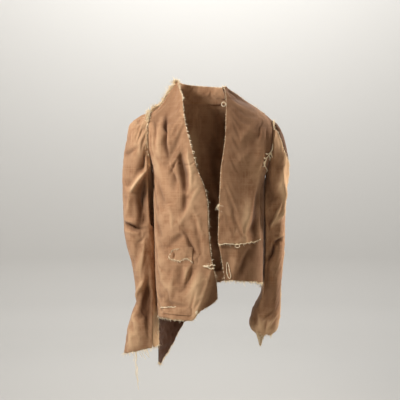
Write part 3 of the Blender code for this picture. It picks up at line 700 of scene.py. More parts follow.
def smooth_sheet(name, sheet, material, shell=SHELL):
    """A thin shell on a finished grid, with its marks stored on the points."""
    points, out, marks = sheet
    piece = bare_sheet(name, points)
    mesh = piece.data
    first = points[:-1, :-1]
    facing = np.cross(points[:-1, 1:] - first, points[1:, :-1] - first)
    if (facing * out[:-1, :-1]).sum() < 0:
        mesh.flip_normals()
    for mark, values in marks.items():
        attribute = mesh.attributes.new(mark, "FLOAT", "POINT")
        attribute.data.foreach_set("value", values.reshape(-1).astype(np.float32))
    mesh.materials.append(material)
    mesh.shade_smooth()
    thick = piece.modifiers.new("shell", "SOLIDIFY")
    thick.thickness = shell * MM
    thick.offset = -1
    return piece


EYE = np.array((-15.5, -1240 * 85 / 36, -294.5))


def new_piece(name, verts, faces, material=None):
    """A mesh in the scene, in metres. It is smooth where it has a material."""
    mesh = bpy.data.meshes.new(name)
    mesh.from_pydata(verts, [], faces)
    if material:
        mesh.materials.append(material)
        mesh.shade_smooth()
    piece = bpy.data.objects.new(name, mesh)
    bpy.context.scene.collection.objects.link(piece)
    return piece


def grid_quads(points, start=0):
    """The faces of a grid of points whose first point has the number start."""
    rows, columns = points.shape[:2]
    index = np.arange(rows * columns).reshape(rows, columns) + start
    quads = np.stack((index[:-1, :-1], index[:-1, 1:], index[1:, 1:], index[1:, :-1]), axis=-1)
    return quads.reshape(-1, 4).tolist()


def surface(*sheets):
    """The named sheets as one surface that lines can be laid on."""
    verts, faces = [], []
    for points, *_ in sheets:
        faces.extend(grid_quads(points, len(verts)))
        verts.extend(points.reshape(-1, 3).tolist())
    return BVHTree.FromPolygons(verts, faces)


def laid(tree, line, lift=1.0):
    """Where a line, given as seen from in front, lies on a surface, and the way out of it there."""
    places, outs = [], []
    for x, z in line:
        aim = Vector((x, 0, z)) - Vector(EYE)
        place, out, *_ = tree.ray_cast(Vector(EYE), aim.normalized())
        if place is None:
            place, out, *_ = tree.find_nearest(Vector((x, -60, z)))
        if out.y > 0:
            out = -out
        places.append(place + out * lift)
        outs.append(out)
    return np.array(places), np.array(outs)


def run_along(line):
    """How far along a line each of its points lies."""
    return np.concatenate(([0], np.cumsum(np.linalg.norm(np.diff(line, axis=0), axis=1))))


def read_rows(at, run, rows):
    """Rows of three values that belong to a line, read at other places along it."""
    return np.stack([np.interp(at, run, rows[:, i]) for i in range(3)], axis=-1)


def smooth_line(points, steps):
    """A line through the points, evenly divided and rounded."""
    points = np.asarray(points, float)
    run = run_along(points)
    at = np.linspace(0, run[-1], steps)
    rows = [(r, *p) for r, p in zip(run, points)]
    names = ("run", *"abc"[: points.shape[1]])
    if len(points) < 3:
        return np.stack([np.interp(at, run, points[:, i]) for i in range(points.shape[1])], axis=-1)
    table = Table(names, *rows)
    return np.stack([table.read(n, at) for n in names[1:]], axis=-1)


def cords(name, lines, thick, material, sides=5):
    """Heavier threads: round tubes along the lines, all in one mesh."""
    verts, faces = [], []
    for line in lines:
        line = np.asarray(line, float)
        aim = unit(np.gradient(line, axis=0))
        one = unit(np.cross(aim, (0.2, 0.95, 0.24)))
        two = np.cross(aim, one)
        turn = np.radians(np.arange(sides) * 360 / sides)
        star = one[:, None] * np.cos(turn)[None, :, None] + two[:, None] * np.sin(turn)[None, :, None]
        width = thick * np.concatenate(([0.6], np.ones(len(line) - 2), [0.5]))
        start = len(verts)
        verts.extend((line[:, None] + star * width[:, None, None]).reshape(-1, 3).tolist())
        for ring in range(len(line) - 1):
            for side in range(sides):
                a, b = start + ring * sides + side, start + ring * sides + (side + 1) % sides
                faces.append((a, b, b + sides, a + sides))
    return new_piece(name, (np.array(verts) * MM).tolist(), faces, material)


# The slackening: how strongly springs hold the cloth, how much more strongly at its edges, and the
# distances from a seam and from an edge over which they let go
HOLD = 0.09
EDGE_HOLD = 0.35
EDGE_REACH = 14
SEAM_REACH = 7
SLACK_STEPS = 22
# How much longer the cloth is than its form, and the panels where it is calmer
SLACK = 0.015
CALM_SLACK = {
    "lapel": 0,
    "front_right": 0.005,
    "front_left": 0,
    "sleeve_right_top": 0.004,
    "sleeve_left_front": 0.006,
}


# Heavy dry canvas for the simulation, which barely falls because springs hold it
CANVAS_CLOTH = {
    "quality": 4,
    "mass": 0.15,
    "air_damping": 2,
    "tension_stiffness": 20,
    "compression_stiffness": 20,
    "shear_stiffness": 8,
    "bending_stiffness": 1.2,
}
CLOTH_GRAVITY = 0.1
HOLD_LEVELS = 150
# Small cells are held less and large ones more, within these limits
CELL_HOLD = (0.25, 3)
# Where cloth swells by this much it gets a painted highlight, and where it sinks painted shade, up to a
# limit
SWELL_DEPTH = 5
SWELL_MOST = 0.5
DARKEST = -1.6


def slacken(sheets, slacks, seams, covered):
    """Lets every sheet buckle around its form, as slack canvas does, while springs hold it there.

    Seams stay where they are, and so does what another sheet covers.
    """
    pieces = {}
    for name, edges in seams.items():
        points = sheets[name][0]
        reach = edge_distances(points)
        rim = np.minimum.reduce(list(reach.values()))
        hold = HOLD + EDGE_HOLD * np.exp(-((rim / EDGE_REACH) ** 2))
        for edge in edges:
            hold = np.maximum(hold, np.exp(-((reach[edge] / SEAM_REACH) ** 2)))
        cell = np.linalg.norm(np.cross(np.gradient(points, axis=0), np.gradient(points, axis=1)), axis=-1)
        hold = np.where(hold < 0.7, hold * np.clip(cell / np.median(cell), *CELL_HOLD), hold)
        hold = np.maximum(hold, covered.get(name, 0)).reshape(-1)
        piece = bare_sheet(name, points)
        group = piece.vertex_groups.new(name="hold")
        steps = np.clip(np.round(hold * HOLD_LEVELS), 0, HOLD_LEVELS).astype(int)
        for step in np.unique(steps[steps > 0]):
            group.add(np.flatnonzero(steps == step).tolist(), step / HOLD_LEVELS, "REPLACE")
        cloth = piece.modifiers.new("slack", "CLOTH")
        settings = cloth.settings
        for key, value in CANVAS_CLOTH.items():
            setattr(settings, key, value)
        settings.shrink_min = -slacks[name]
        settings.vertex_group_mass = "hold"
        settings.pin_stiffness = 1
        settings.effector_weights.gravity = CLOTH_GRAVITY
        cloth.collision_settings.use_collision = False
        cloth.point_cache.frame_start = 1
        cloth.point_cache.frame_end = SLACK_STEPS
        pieces[name] = piece
    for number in range(1, SLACK_STEPS + 1):
        bpy.context.scene.frame_set(number)
    graph = bpy.context.evaluated_depsgraph_get()
    for name, piece in pieces.items():
        found = piece.evaluated_get(graph).data
        flat = np.empty(len(found.vertices) * 3)
        found.vertices.foreach_get("co", flat)
        points, out, marks = sheets[name]
        moved = flat.reshape(points.shape) / MM
        # Painted highlight where the cloth swelled out, painted shade where it sank
        relief_light = np.clip(((moved - points) * out).sum(-1) / SWELL_DEPTH, -SWELL_MOST, SWELL_MOST)
        marks["worn"] = np.clip(marks["worn"] + relief_light, DARKEST, 1)
        sheets[name] = (moved, out, marks)
        bpy.data.meshes.remove(piece.data)
    bpy.context.scene.frame_set(1)


def bare_sheet(name, points):
    return new_piece(name, (points.reshape(-1, 3) * MM).tolist(), grid_quads(points))


STRAND_STEPS = 5


def strands(name, roots, grow, out, material, length, seed, thick=0.5, wild=0.5, weight=0.22):
    """Loose thread ends: thin three-sided tapering tubes from the roots, all in one mesh.

    Most are short, some are long, and neighbours lean together in tufts.
    """
    rng = np.random.default_rng(seed)
    count = len(roots)
    long = length * np.clip(rng.lognormal(-0.35, 0.55, count), 0.2, 2.6)[:, None]
    tuft = lattice(roots[:, 0] + roots[:, 1], roots[:, 2], 6, seed)[:, None]
    aside = unit(np.cross(grow, out)) * tuft * wild * 1.2
    outward = out * rng.normal(0.1, 0.3, (count, 1))
    heading = unit(grow + aside + outward + rng.normal(0, wild * 0.4, (count, 3)))
    place = roots - grow * 1.2
    rings = [place]
    for _ in range(STRAND_STEPS):
        heading = unit(heading + rng.normal(0, wild * 0.5, (count, 3)) + np.array((0, 0, -weight)))
        place = place + heading * long / STRAND_STEPS
        rings.append(place)
    rings = np.stack(rings, axis=1)
    aim = unit(rings[:, -1] - rings[:, 0])
    one = unit(np.cross(aim, np.array((0.3, 0.9, 0.2))))
    two = np.cross(aim, one)
    width = thick * np.linspace(1, 0.45, STRAND_STEPS + 1)[None, :, None, None]
    turn = np.radians((0, 120, 240))
    star = one[:, None] * np.cos(turn)[None, :, None] + two[:, None] * np.sin(turn)[None, :, None]
    verts = rings[:, :, None] + star[:, None] * width
    start = (np.arange(count) * (STRAND_STEPS + 1) * 3)[:, None, None]
    ring = (np.arange(STRAND_STEPS) * 3)[None, :, None]
    a = start + ring + np.arange(3)
    b = start + ring + (np.arange(3) + 1) % 3
    faces = np.stack((a, b, b + 3, a + 3), axis=-1).reshape(-1, 4)
    return new_piece(name, (verts.reshape(-1, 3) * MM).tolist(), faces.tolist(), material)


def along_line(line, spacing, rng, *others):
    """Scattered places along a line, with the other rows of values read at the same places."""
    run = run_along(line)
    count = max(2, int(run[-1] / spacing))
    at = np.sort(rng.uniform(0, run[-1], count))
    return [read_rows(at, run, rows) for rows in (line, *others)]


def border(sheet, side, first=0, last=None):
    """The raw edge of a finished grid, the way out of the cloth there, and the way it faces."""
    points, out = sheet[:2]
    lines = {
        "first": (points[:, 0], points[:, 0] - points[:, 1], out[:, 0]),
        "last": (points[:, -1], points[:, -1] - points[:, -2], out[:, -1]),
        "top": (points[0], points[0] - points[1], out[0]),
        "bottom": (points[-1], points[-1] - points[-2], out[-1]),
    }
    line, grow, facing = lines[side]
    cut = slice(first, last)
    return line[cut], unit(grow[cut]), facing[cut]


def colour(text):
    """A linear colour from an sRGB hex code."""
    parts = [int(text[i : i + 2], 16) / 255 for i in (1, 3, 5)]
    return (*[p / 12.92 if p <= 0.04045 else ((p + 0.055) / 1.055) ** 2.4 for p in parts], 1)


def add(tree, kind, **values):
    """A node with its settings and its constant inputs."""
    made = tree.nodes.new(kind)
    for key, value in values.items():
        if key in made.inputs:
            made.inputs[key].default_value = value
        else:
            setattr(made, key, value)
    return made


def canvas_material(name, base, patch, dark):
    """Worn cotton canvas: woven, mottled and creamy at raw edges, paler on ridges and lit places (partly
    rubbed wear, partly painted highlight) and darker with painted shade in creases and shaded places.
    """
    material = bpy.data.materials.new(name)
    material.use_nodes = True
    tree = material.node_tree
    shader = tree.nodes["Principled BSDF"]
    shader.inputs["Roughness"].default_value = 0.92
    shader.inputs["Specular IOR Level"].default_value = 0.2
    shader.inputs["Sheen Weight"].default_value = 0.12
    place = add(tree, "ShaderNodeTexCoord").outputs["Object"]

    def noise(scale, detail, rough=0.55):
        made = add(tree, "ShaderNodeTexNoise", Scale=scale, Detail=detail, Roughness=rough)
        tree.links.new(place, made.inputs["Vector"])
        return made.outputs["Fac"]

    def mix(factor, a, b, blend="MIX"):
        made = add(tree, "ShaderNodeMix", data_type="RGBA", blend_type=blend)
        for value, socket in ((factor, made.inputs[0]), (a, made.inputs[6]), (b, made.inputs[7])):
            if hasattr(value, "is_output"):
                tree.links.new(value, socket)
            else:
                socket.default_value = value
        return made.outputs[2]

    def ramp(value, low, high):
        """From 0 at the low value to 1 at the high one."""
        made = add(tree, "ShaderNodeMapRange")
        tree.links.new(value, made.inputs["Value"])
        made.inputs["From Min"].default_value = low
        made.inputs["From Max"].default_value = high
        return made.outputs["Result"]

    def mark(label):
        return add(tree, "ShaderNodeAttribute", attribute_name=label).outputs["Fac"]

    cloth = mix(ramp(noise(9, 3), 0.35, 0.65), colour(base), colour(patch))
    cloth = mix(ramp(noise(34, 4), 0.42, 0.7), cloth, colour(dark))
    for stretch in ((14, 14, 520), (520, 14, 14)):
        spread = add(tree, "ShaderNodeVectorMath", operation="MULTIPLY")
        spread.inputs[1].default_value = stretch
        tree.links.new(place, spread.inputs[0])
        slubs = add(tree, "ShaderNodeTexNoise", Scale=1, Detail=1)
        tree.links.new(spread.outputs[0], slubs.inputs["Vector"])
        cloth = mix(ramp(slubs.outputs["Fac"], 0.5, 0.85), cloth, colour(patch))
    # Towards the pale colour: rubbed wear and painted highlight; towards the dark colour: painted shade in
    # creases, dents and shaded places
    cloth = mix(ramp(mark("worn"), 0.1, 1.2), cloth, colour("#D9B48C"))
    cloth = mix(ramp(mark("worn"), -0.1, -1.4), cloth, colour("#5E3D26"))
    # Painted shade: where the inner mark is set, the side that faces forward darkens to a deep brown
    normal = add(tree, "ShaderNodeSeparateXYZ")
    tree.links.new(add(tree, "ShaderNodeNewGeometry").outputs["True Normal"], normal.inputs[0])
    forward = ramp(normal.outputs["Y"], 0.1, -0.2)
    cloth = mix(mark("inner"), cloth, mix(forward, cloth, colour("#42240F")))
    cloth = mix(ramp(noise(160, 2), 0.3, 0.6), cloth, mix(mark("raw"), cloth, colour("#DCC8A4")))
    tree.links.new(cloth, shader.inputs["Base Color"])
    bump = add(tree, "ShaderNodeBump", Strength=0.5, Distance=0.0006)
    tree.links.new(noise(900, 1), bump.inputs["Height"])
    tree.links.new(bump.outputs["Normal"], shader.inputs["Normal"])
    return material


def plain_material(name, shade):
    material = bpy.data.materials.new(name)
    material.use_nodes = True
    shader = material.node_tree.nodes["Principled BSDF"]
    shader.inputs["Base Color"].default_value = colour(shade)
    shader.inputs["Roughness"].default_value = 0.9
    return material


def settle(piece, nodes):
    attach(piece, "root")
    if nodes:
        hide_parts(*nodes)
    return piece


COVERED_DEPTH = 5.0
LAPEL_FLARE = 2.5
TORN_UNDERLAP = 14
TORN_DEPTH = 3.0
COLLAR_TUCK = 5.0
SLEEVE_ROWS = 190
# How much painted shade darkens the left front, which faces away from the key light: all over, at its
# shoulder and below the upper layer
LEFT_SHADE = 0.55
LEFT_TOP_SHADE = 0.45
LEFT_LOW_SHADE = 0.1
# How much paler the right shoulder, the strip along the right wrist and the left cuff are; on the strip and
# the cuff this is painted light where the lamps leave them in shade
CAP_PALENESS = 0.5
STRIP_PAINTED_LIGHT = 1.2
STRIP_END = 170
CUFF_PAINTED_LIGHT = 0.5
# Paler and darker places of the sleeves, seen from in front: X, Z, half the width and height,
# and how pale or, below 0, how dark. The two pale places on the left sleeve's outer side are a painted
# highlight of the rim light, and the dark places on both forearms are painted shade
SLEEVE_PATCHES = (
    (243, -262, 9, 48, 1.3),
    (246, -186, 7, 24, 1.0),
    (212, -120, 18, 40, 0.5),
    (208, -565, 34, 72, -1.4),
    (-185, -610, 24, 60, -1.0),
)
# The same for the left front and its upper layer, where the pale and dark streaks paint the light and shade
# of soft folds
LEFT_PATCHES = (
    (120, -350, 11, 62, 0.9),
    (146, -330, 9, 80, -0.7),
    (86, -300, 16, 70, -0.3),
    (84, -465, 12, 34, 0.6),
)
# How much painted shade darkens the layer behind the tear
BEHIND_SHADE = 1.5
# How far the torn edge of the left sleeve, and the outer seam below it, are bare of their colour, by ring
TORN_PALE = Table(
    ("number", "width"),
    (0, 3),
    (3, 4),
    (5, 6),
    (6.5, 9),
    (8, 5),
    (10, 8),
    (12, 14),
    (17, 14),
    (19, 6),
)
# How much of the colour is gone at the raw edges down the fronts
EDGE_BARE = 0.2
# Where painted shade darkens the inside of the tail, which hangs in shade, and how far its edge reaches out
TAIL_SHADE_FROM = -600
TAIL_REACH = 8
TAIL_REACH_FROM = -560
# The shoulder's bulge on the right sleeve: its height, its ring, and its reach in rings and degrees
CAP_BULGE = 5.0
CAP_RING = 2.8
CAP_RING_REACH = 1.1
CAP_TURN_REACH = 50
# How far the left sleeve stands forward beside the front, where round it, and over how many degrees
INNER_FULLNESS = 22.0
INNER_TURN = 156
INNER_TURN_REACH = 24


def build_front_right():
    z, share = front_levels("right", RIGHT_NECK_LEVELS, 84, ((RIGHT_HEM, 96),))
    base, out = front_base("right", RIGHT_EDGE, z, share)
    raised = right_front_raise(base, out) * ease((1 - share) / 0.1)
    spread = (spans(base, 1), -base[..., 2])
    raw = ("first", "bottom", "top")
    points, out, marks = shaped(base, out, raised, 11, raw=raw, seams=("last",), spread=spread, rough=0.7)
    marks["raw"] *= EDGE_BARE + (1 - EDGE_BARE) * ease((-560 - z) / 20)
    return points, out, marks


def build_front_left():
    z, share = front_levels("left", LEFT_NECK_LEVELS, 84, ((LEFT_HEM, 78),))
    base, out = front_base("left", LEFT_EDGE, z, share)
    raised = left_front_raise(base, out) * ease((1 - share) / 0.1)
    hidden = ease((LAPEL_SIDE.read("share", z) - share) / 0.08) * ease((z + 414) / 14)
    spread = (spans(base, 1), -base[..., 2])
    raw = ("first", "bottom", "top")
    points, out, marks = shaped(base, out, raised, 21, raw=raw, seams=("last",), spread=spread, rough=0.5)
    points -= out * (hidden * COVERED_DEPTH)[..., None]
    shade_left(marks, z)
    add_patches(marks, base, out, LEFT_PATCHES)
    marks["raw"] *= EDGE_BARE + (1 - EDGE_BARE) * ease((-515 - z) / 10)
    return (points, out, marks), hidden


def shade_left(marks, z):
    """Paints shade on the left front, more at its shoulder and below the upper layer."""
    top, low = ease((z + 260) / 160), ease((-405 - z) / 20)
    marks["worn"] -= LEFT_SHADE + LEFT_TOP_SHADE * top + LEFT_LOW_SHADE * low


def add_patches(marks, base, out, patches):
    """Paints places paler or darker on the side that faces the front: painted highlight and painted shade.
    """
    for x, z, wide, high, strength in patches:
        far = ((base[..., 0] - x) / wide) ** 2 + ((base[..., 2] - z) / high) ** 2
        marks["worn"] += strength * np.exp(-far) * ease(-out[..., 1] * 2)


def build_lapel():
    z, share = front_levels("left", LEFT_NECK_LEVELS, 76, ((LAPEL_HEM, 54),))
    share = share * LAPEL_SIDE.read("share", z)
    base, out = front_base("left", LEFT_EDGE, z, share)
    raised = left_front_raise(base, out) * ease((1 - share) / 0.1) + LAPEL_LIFT
    loose = edge_distances(base)["bottom"]
    raised = raised + LAPEL_FLARE * np.exp(-((loose / 30) ** 2))
    spread = (spans(base, 1), -base[..., 2])
    points, out, marks = shaped(base, out, raised, 21, raw=("first", "bottom"), spread=spread, rough=0.5)
    shade_left(marks, np.maximum(z, -400))
    add_patches(marks, base, out, LEFT_PATCHES)
    marks["raw"] *= EDGE_BARE + (1 - EDGE_BARE) * np.exp(-((loose / 6) ** 2))
    return points, out, marks


def build_back(right_side, left_side):
    share = np.linspace(0, 1, 121)
    tail = BACK_HEM.read("z", 0)
    extra = max(4, int((right_side[-1] - tail) / 6))
    right = np.concatenate((right_side, lower_heights(right_side[-1:], tail, extra)[:, 0]))
    left = np.interp(np.linspace(0, 1, len(right)), np.linspace(0, 1, len(left_side)), left_side)
    z = right[:, None] + (left - right)[:, None] * share
    progress = np.clip((z[:, :1] - z[0, 0]) / (tail - z[0, 0]), 0, 1)
    z = z + (BACK_HEM.read("z", share) - z[-1]) * progress**3
    first, right_pull = seam_pull("right", z[:, :1], -side_turn("right", z[:, :1]), front=False)
    last, left_pull = seam_pull("left", z[:, -1:], side_turn("left", z[:, -1:]) - 360, front=False)
    angle = first + (last - first) * share
    near_right = ease(1 - share / 0.35)[None, :, None]
    near_left = ease((share - 0.65) / 0.35)[None, :, None]
    base = body_point(angle, z) + right_pull * near_right + left_pull * near_left
    out = body_normal(angle, z)
    base[..., 0] -= TAIL_REACH * ease((TAIL_REACH_FROM - z) / 60) * ease(1 - share / 0.3)
    raised = fold_heights(base, out[..., 1], BACK_FOLDS + BACK_CREASES, 60)
    raised = raised * ease(share / 0.08) * ease((1 - share) / 0.08)
    spread = (base[..., 0], -base[..., 2])
    seams = ("first", "last", "top")
    points, out, marks = shaped(base, out, raised, 31, raw=("bottom",), seams=seams, spread=spread)
    # Painted shade on the inside of the tail, below this height
    marks["inner"] = ease((TAIL_SHADE_FROM - points[..., 2]) / 40)
    return points, out, marks


def build_collar():
    share = np.linspace(0, 1, 121)
    right = dense(RIGHT_NECK_LEVELS[:COLLAR_LEVELS], 5)[:, None]
    left = dense(LEFT_NECK_LEVELS[:COLLAR_LEVELS], 5)[:, None]
    z = right + (left - right) * share
    angle = -90 - 180 * share + 0 * z
    base, out = body_point(angle, z), body_normal(angle, z)
    tucked = np.exp(-((z - COLLAR_SEAM) ** 2) / 30)
    z = z - COLLAR_TUCK * tucked
    base = body_point(angle, z) - out * (SHELL + 0.5) * tucked[..., None]
    return shaped(base, out, 0 * z, 35, raw=("top",), seams=("first", "last"))


def build_sleeve(name, first_turn, last_turn, folds, seed, seams, raw=("bottom",), lift=0, under=0):
    rings = np.linspace(0, RINGS[name].rows[-1, 0], SLEEVE_ROWS + 1)
    starts, ends = first_turn(rings), last_turn(rings)
    columns = round((ends[0] - starts[0]) / TURN_STEP)
    share = np.linspace(0, 1, columns + 1)
    turn = starts[:, None] + (ends - starts)[:, None] * share
    number = np.repeat(rings[:, None], columns + 1, axis=1)
    base, out = sleeve_point(name, number, turn), sleeve_normal(name, number, turn)
    if name == "left":
        along = ease((number - 4) / 3) * ease((16 - number) / 3)
        near_turn = np.exp(-(((turn - INNER_TURN) / INNER_TURN_REACH) ** 2))
        base[..., 1] -= INNER_FULLNESS * along * near_turn
    raised = fold_heights(base, -out[..., 1], folds, seed, SLEEVE_FOLDS) * ease(number / 2.5)
    raised += lift * ease(number / 1.5) * ease((TORN_END - number) / 2) * ease(1 - share / 0.25)
    if under:
        raised -= under * ease((share - 0.85) / 0.1)
    if name == "right":
        near_ring = np.exp(-(((number - CAP_RING) / CAP_RING_REACH) ** 2))
        raised += CAP_BULGE * near_ring * np.exp(-((turn / CAP_TURN_REACH) ** 2))
    else:
        pleats = GATHER_DEPTH * np.cos(np.radians(turn * GATHER_PLEATS))
        gather = pleats * ease((number - GATHER_FROM) / 1.6)
        raised += gather
        base[..., 2] += gather
    points, out, marks = shaped(base, out, raised, seed, raw=raw, seams=seams)
    if name == "right":
        marks["worn"] += CAP_PALENESS * ease((5 - number) / 3)
        # Painted light on the strip along the right wrist, which turns away from the key light
        low = ease((number - RIGHT_VENT_START) / 0.6)
        marks["worn"] += STRIP_PAINTED_LIGHT * low * ease((turn - 124) / 4) * ease((STRIP_END - turn) / 8)
        marks["raw"] = np.maximum(marks["raw"], low * np.exp(-(((turn - STRIP_END) / 5) ** 2)))
    else:
        marks["raw"] = np.maximum(marks["raw"], 0.9 * ease((cuff_drop(number, turn) - 3) / 9))
        # Painted light on the left cuff, which lies in the shadow of the right front
        marks["worn"] += CUFF_PAINTED_LIGHT * ease((number - 14.5) / 2)
        if "first" in raw:
            bare = np.exp(-((edge_distances(base)["first"] / TORN_PALE.read("width", number)) ** 2))
            marks["raw"] = np.maximum(marks["raw"], 0.85 * bare)
        else:
            # Painted shade on the layer behind the tear
            front = np.cos(np.radians(turn - 20))
            marks["worn"] -= BEHIND_SHADE * ease(front * 1.5) * ease((TORN_END + 1 - number) / 3)
    add_patches(marks, base, out, SLEEVE_PATCHES)
    return points, out, marks


def steady(turn):
    """A seam at the same angle on every ring."""
    return lambda rings: np.full(len(rings), float(turn))


def vent(rings):
    """The front seam of the right sleeve, which opens towards the wrist."""
    last = RINGS["right"].rows[-1, 0]
    opening = ease((rings - RIGHT_VENT_START) / (last - RIGHT_VENT_START))
    return RIGHT_FRONT_SEAM + RIGHT_VENT_OPENING * opening


def torn(rings):
    return LEFT_TORN_SEAM.read("turn", rings)


def torn_far(rings):
    """The back piece runs on under the front piece's torn edge."""
    return torn(rings) + 360 + TORN_UNDERLAP * ease((TORN_END + 1 - rings) / 2)


def patch(tree, across, upper, lower, columns, rows, lift, seed, raw):
    """A small piece that lies on the right front and follows its folds."""
    x = np.linspace(*across, columns + 1) + np.zeros((rows + 1, 1))
    top, share = upper.read("z", x), np.linspace(0, 1, rows + 1)[:, None]
    z = top + (lower.read("z", x) - top) * share
    starts = np.stack((x, np.full(x.shape, -400.0), z), axis=-1).reshape(-1, 3)
    deep = [tree.ray_cast(Vector(start), Vector((0, 1, 0)))[0].y for start in starts]
    base = np.stack((x, np.reshape(deep, x.shape), z), axis=-1)
    out = unit(np.cross(np.gradient(base, axis=1), -np.gradient(base, axis=0)))
    out = np.where(out[..., 1:2] > 0, -out, out)
    return shaped(base, out, np.full(x.shape, float(lift)), seed, raw=raw)


def studio():
    """A plain pale floor that sweeps up all round, soft lamps and the camera."""
    profile = ((0.01, -1.46), (4.6, -1.46), (5.1, -1.41), (5.45, -1.2), (5.6, -0.8), (5.6, 5))
    sides = 72
    angles = [2 * math.pi * side / sides for side in range(sides)]
    verts = [(reach * math.cos(a), reach * math.sin(a), z) for reach, z in profile for a in angles]
    corners = ((0, 0), (0, 1), (1, 1), (1, 0))
    faces = [
        [(level + up) * sides + (side + on) % sides for up, on in corners]
        for level in range(len(profile) - 1)
        for side in range(sides)
    ]
    # Smooth pale paper: it keeps the shadows soft and takes no colour from the cloth
    floor = new_piece("floor", verts, faces, plain_material("floor", "#BDBBB7"))
    floor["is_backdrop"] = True
    lamps = (
        ("key", (-1.55, -0.95, 0.85), 0.5, 58, "#FFFFFF"),
        ("fill", (0.7, -2.9, 0.3), 1.4, 13, "#FFF3E4"),
        ("rim", (1.7, 0.7, 0.4), 0.4, 56, "#FFF4E6"),
        ("wall", (0, 3.2, 3.4), 2.4, 230, "#FFFFFF"),
    )
    for name, spot, size, power, shade in lamps:
        light = bpy.data.lights.new(name, "AREA")
        light.size = size
        light.energy = power
        light.color = colour(shade)[:3]
        lamp = bpy.data.objects.new(name, light)
        lamp.location = spot
        aim = np.array((0, 5.4, 0.2) if name == "wall" else (0, 0, -0.2)) - np.array(spot)
        lamp.rotation_euler = aim_angles(aim)
        bpy.context.scene.collection.objects.link(lamp)
    world = bpy.data.worlds.new("studio")
    world.use_nodes = True
    world.node_tree.nodes["Background"].inputs[0].default_value = colour("#E2E2E2")
    world.node_tree.nodes["Background"].inputs[1].default_value = 0.07
    bpy.context.scene.world = world
    view = bpy.data.cameras.new("camera")
    view.lens = 85
    view.sensor_width = 36
    camera = bpy.data.objects.new("camera", view)
    camera.location = EYE * MM
    camera.rotation_euler = (math.pi / 2, 0, 0)
    bpy.context.scene.collection.objects.link(camera)
    bpy.context.scene.camera = camera
    bpy.context.scene.view_settings.view_transform = "Standard"


def aim_angles(aim):
    """Rotation that points an object's -Z along a direction."""
    x, y, z = aim
    flat = math.hypot(x, y)
    return (math.atan2(flat, -z), 0, math.atan2(y, x) - math.pi / 2)


# Threads that hang from the right cuff: the X of the root, the length and how far it drifts
HANGING_THREADS = (
    (-222, 30, 5),
    (-214, 118, 8),
    (-213, 74, 12),
    (-212, 96, 6),
    (-204, 22, 12),
    (-196, 30, 16),
    (-190, 26, 20),
    (-184, 16, 14),
    (-178, 20, 8),
    (-170, 12, 4),
    (-230, 14, -4),
)


# Seen from in front, as X and Z: the torn arc above the pocket flap, the strands torn out at the
# left armhole, and the thread round the buttonhole
POCKET_TEAR = ((-106, -464), (-103, -454), (-95, -447), (-82, -445))
ARMHOLE_STRANDS = (
    (
        *((209, -121), (206, -136), (200, -150), (191, -161)),
        *((186, -174), (182, -188), (189, -198), (192, -208)),
    ),
    ((202, -146), (192, -152), (185, -151)),
    ((191, -161), (183, -166), (181, -164)),
    ((201, -148), (208, -156), (210, -163)),
    ((187, -170), (180, -178), (181, -184)),
    ((196, -156), (202, -166), (200, -172)),
    ((183, -186), (178, -192)),
)
LOOPS = (("neck", 56, -8, 6, 6.5), ("lapel", 100, -437, 6.5, 4.5))
# Short stitches that stick out along the right front edge: the heights between, and how far apart
EDGE_STITCHES = (-28, -175, 10)
# The two thick bundles of thread at the tab: X and Z from in front
TAB_CORDS = (
    ((-7, -489), (8, -490), (20, -487), (29, -488)),
    ((-5, -491), (9, -495), (19, -498), (28, -497)),
)
HEM_STITCH = ((-136, -627), (-120, -626), (-104, -627), (-90, -626))
BUTTONHOLE = (
    (69, -487),
    (66, -497),
    (67, -515),
    (72, -534),
    (77, -538),
    (80, -530),
    (77, -515),
    (73, -496),
    (70, -488),
)
# Pulled tufts: the panel, the name, X and Z seen from in front, the way they point, how many ends,
# how far apart, and their length
TUFTS = (
    ("lapel_left", "edge_left", 37, -322, (-0.5, -0.3, -0.8), 40, 2.6, 14),
    ("front_left", "hem_left", 176, -558, (0.1, -0.4, -0.9), 26, 2.5, 10),
    ("front_left", "hem_middle", 118, -553, (0.1, -0.2, -1), 9, 1.5, 10),
    ("front_right", "corner_right", -26, -643, (0.5, -0.8, -0.4), 70, 2.2, 6),
    ("front_right", "band_right", -134, -627, (-0.2, -0.9, -0.2), 16, 2.4, 5),
    ("front_right", "tab_right", 10, -492, (0.6, -0.7, -0.1), 14, 2.2, 4),
)


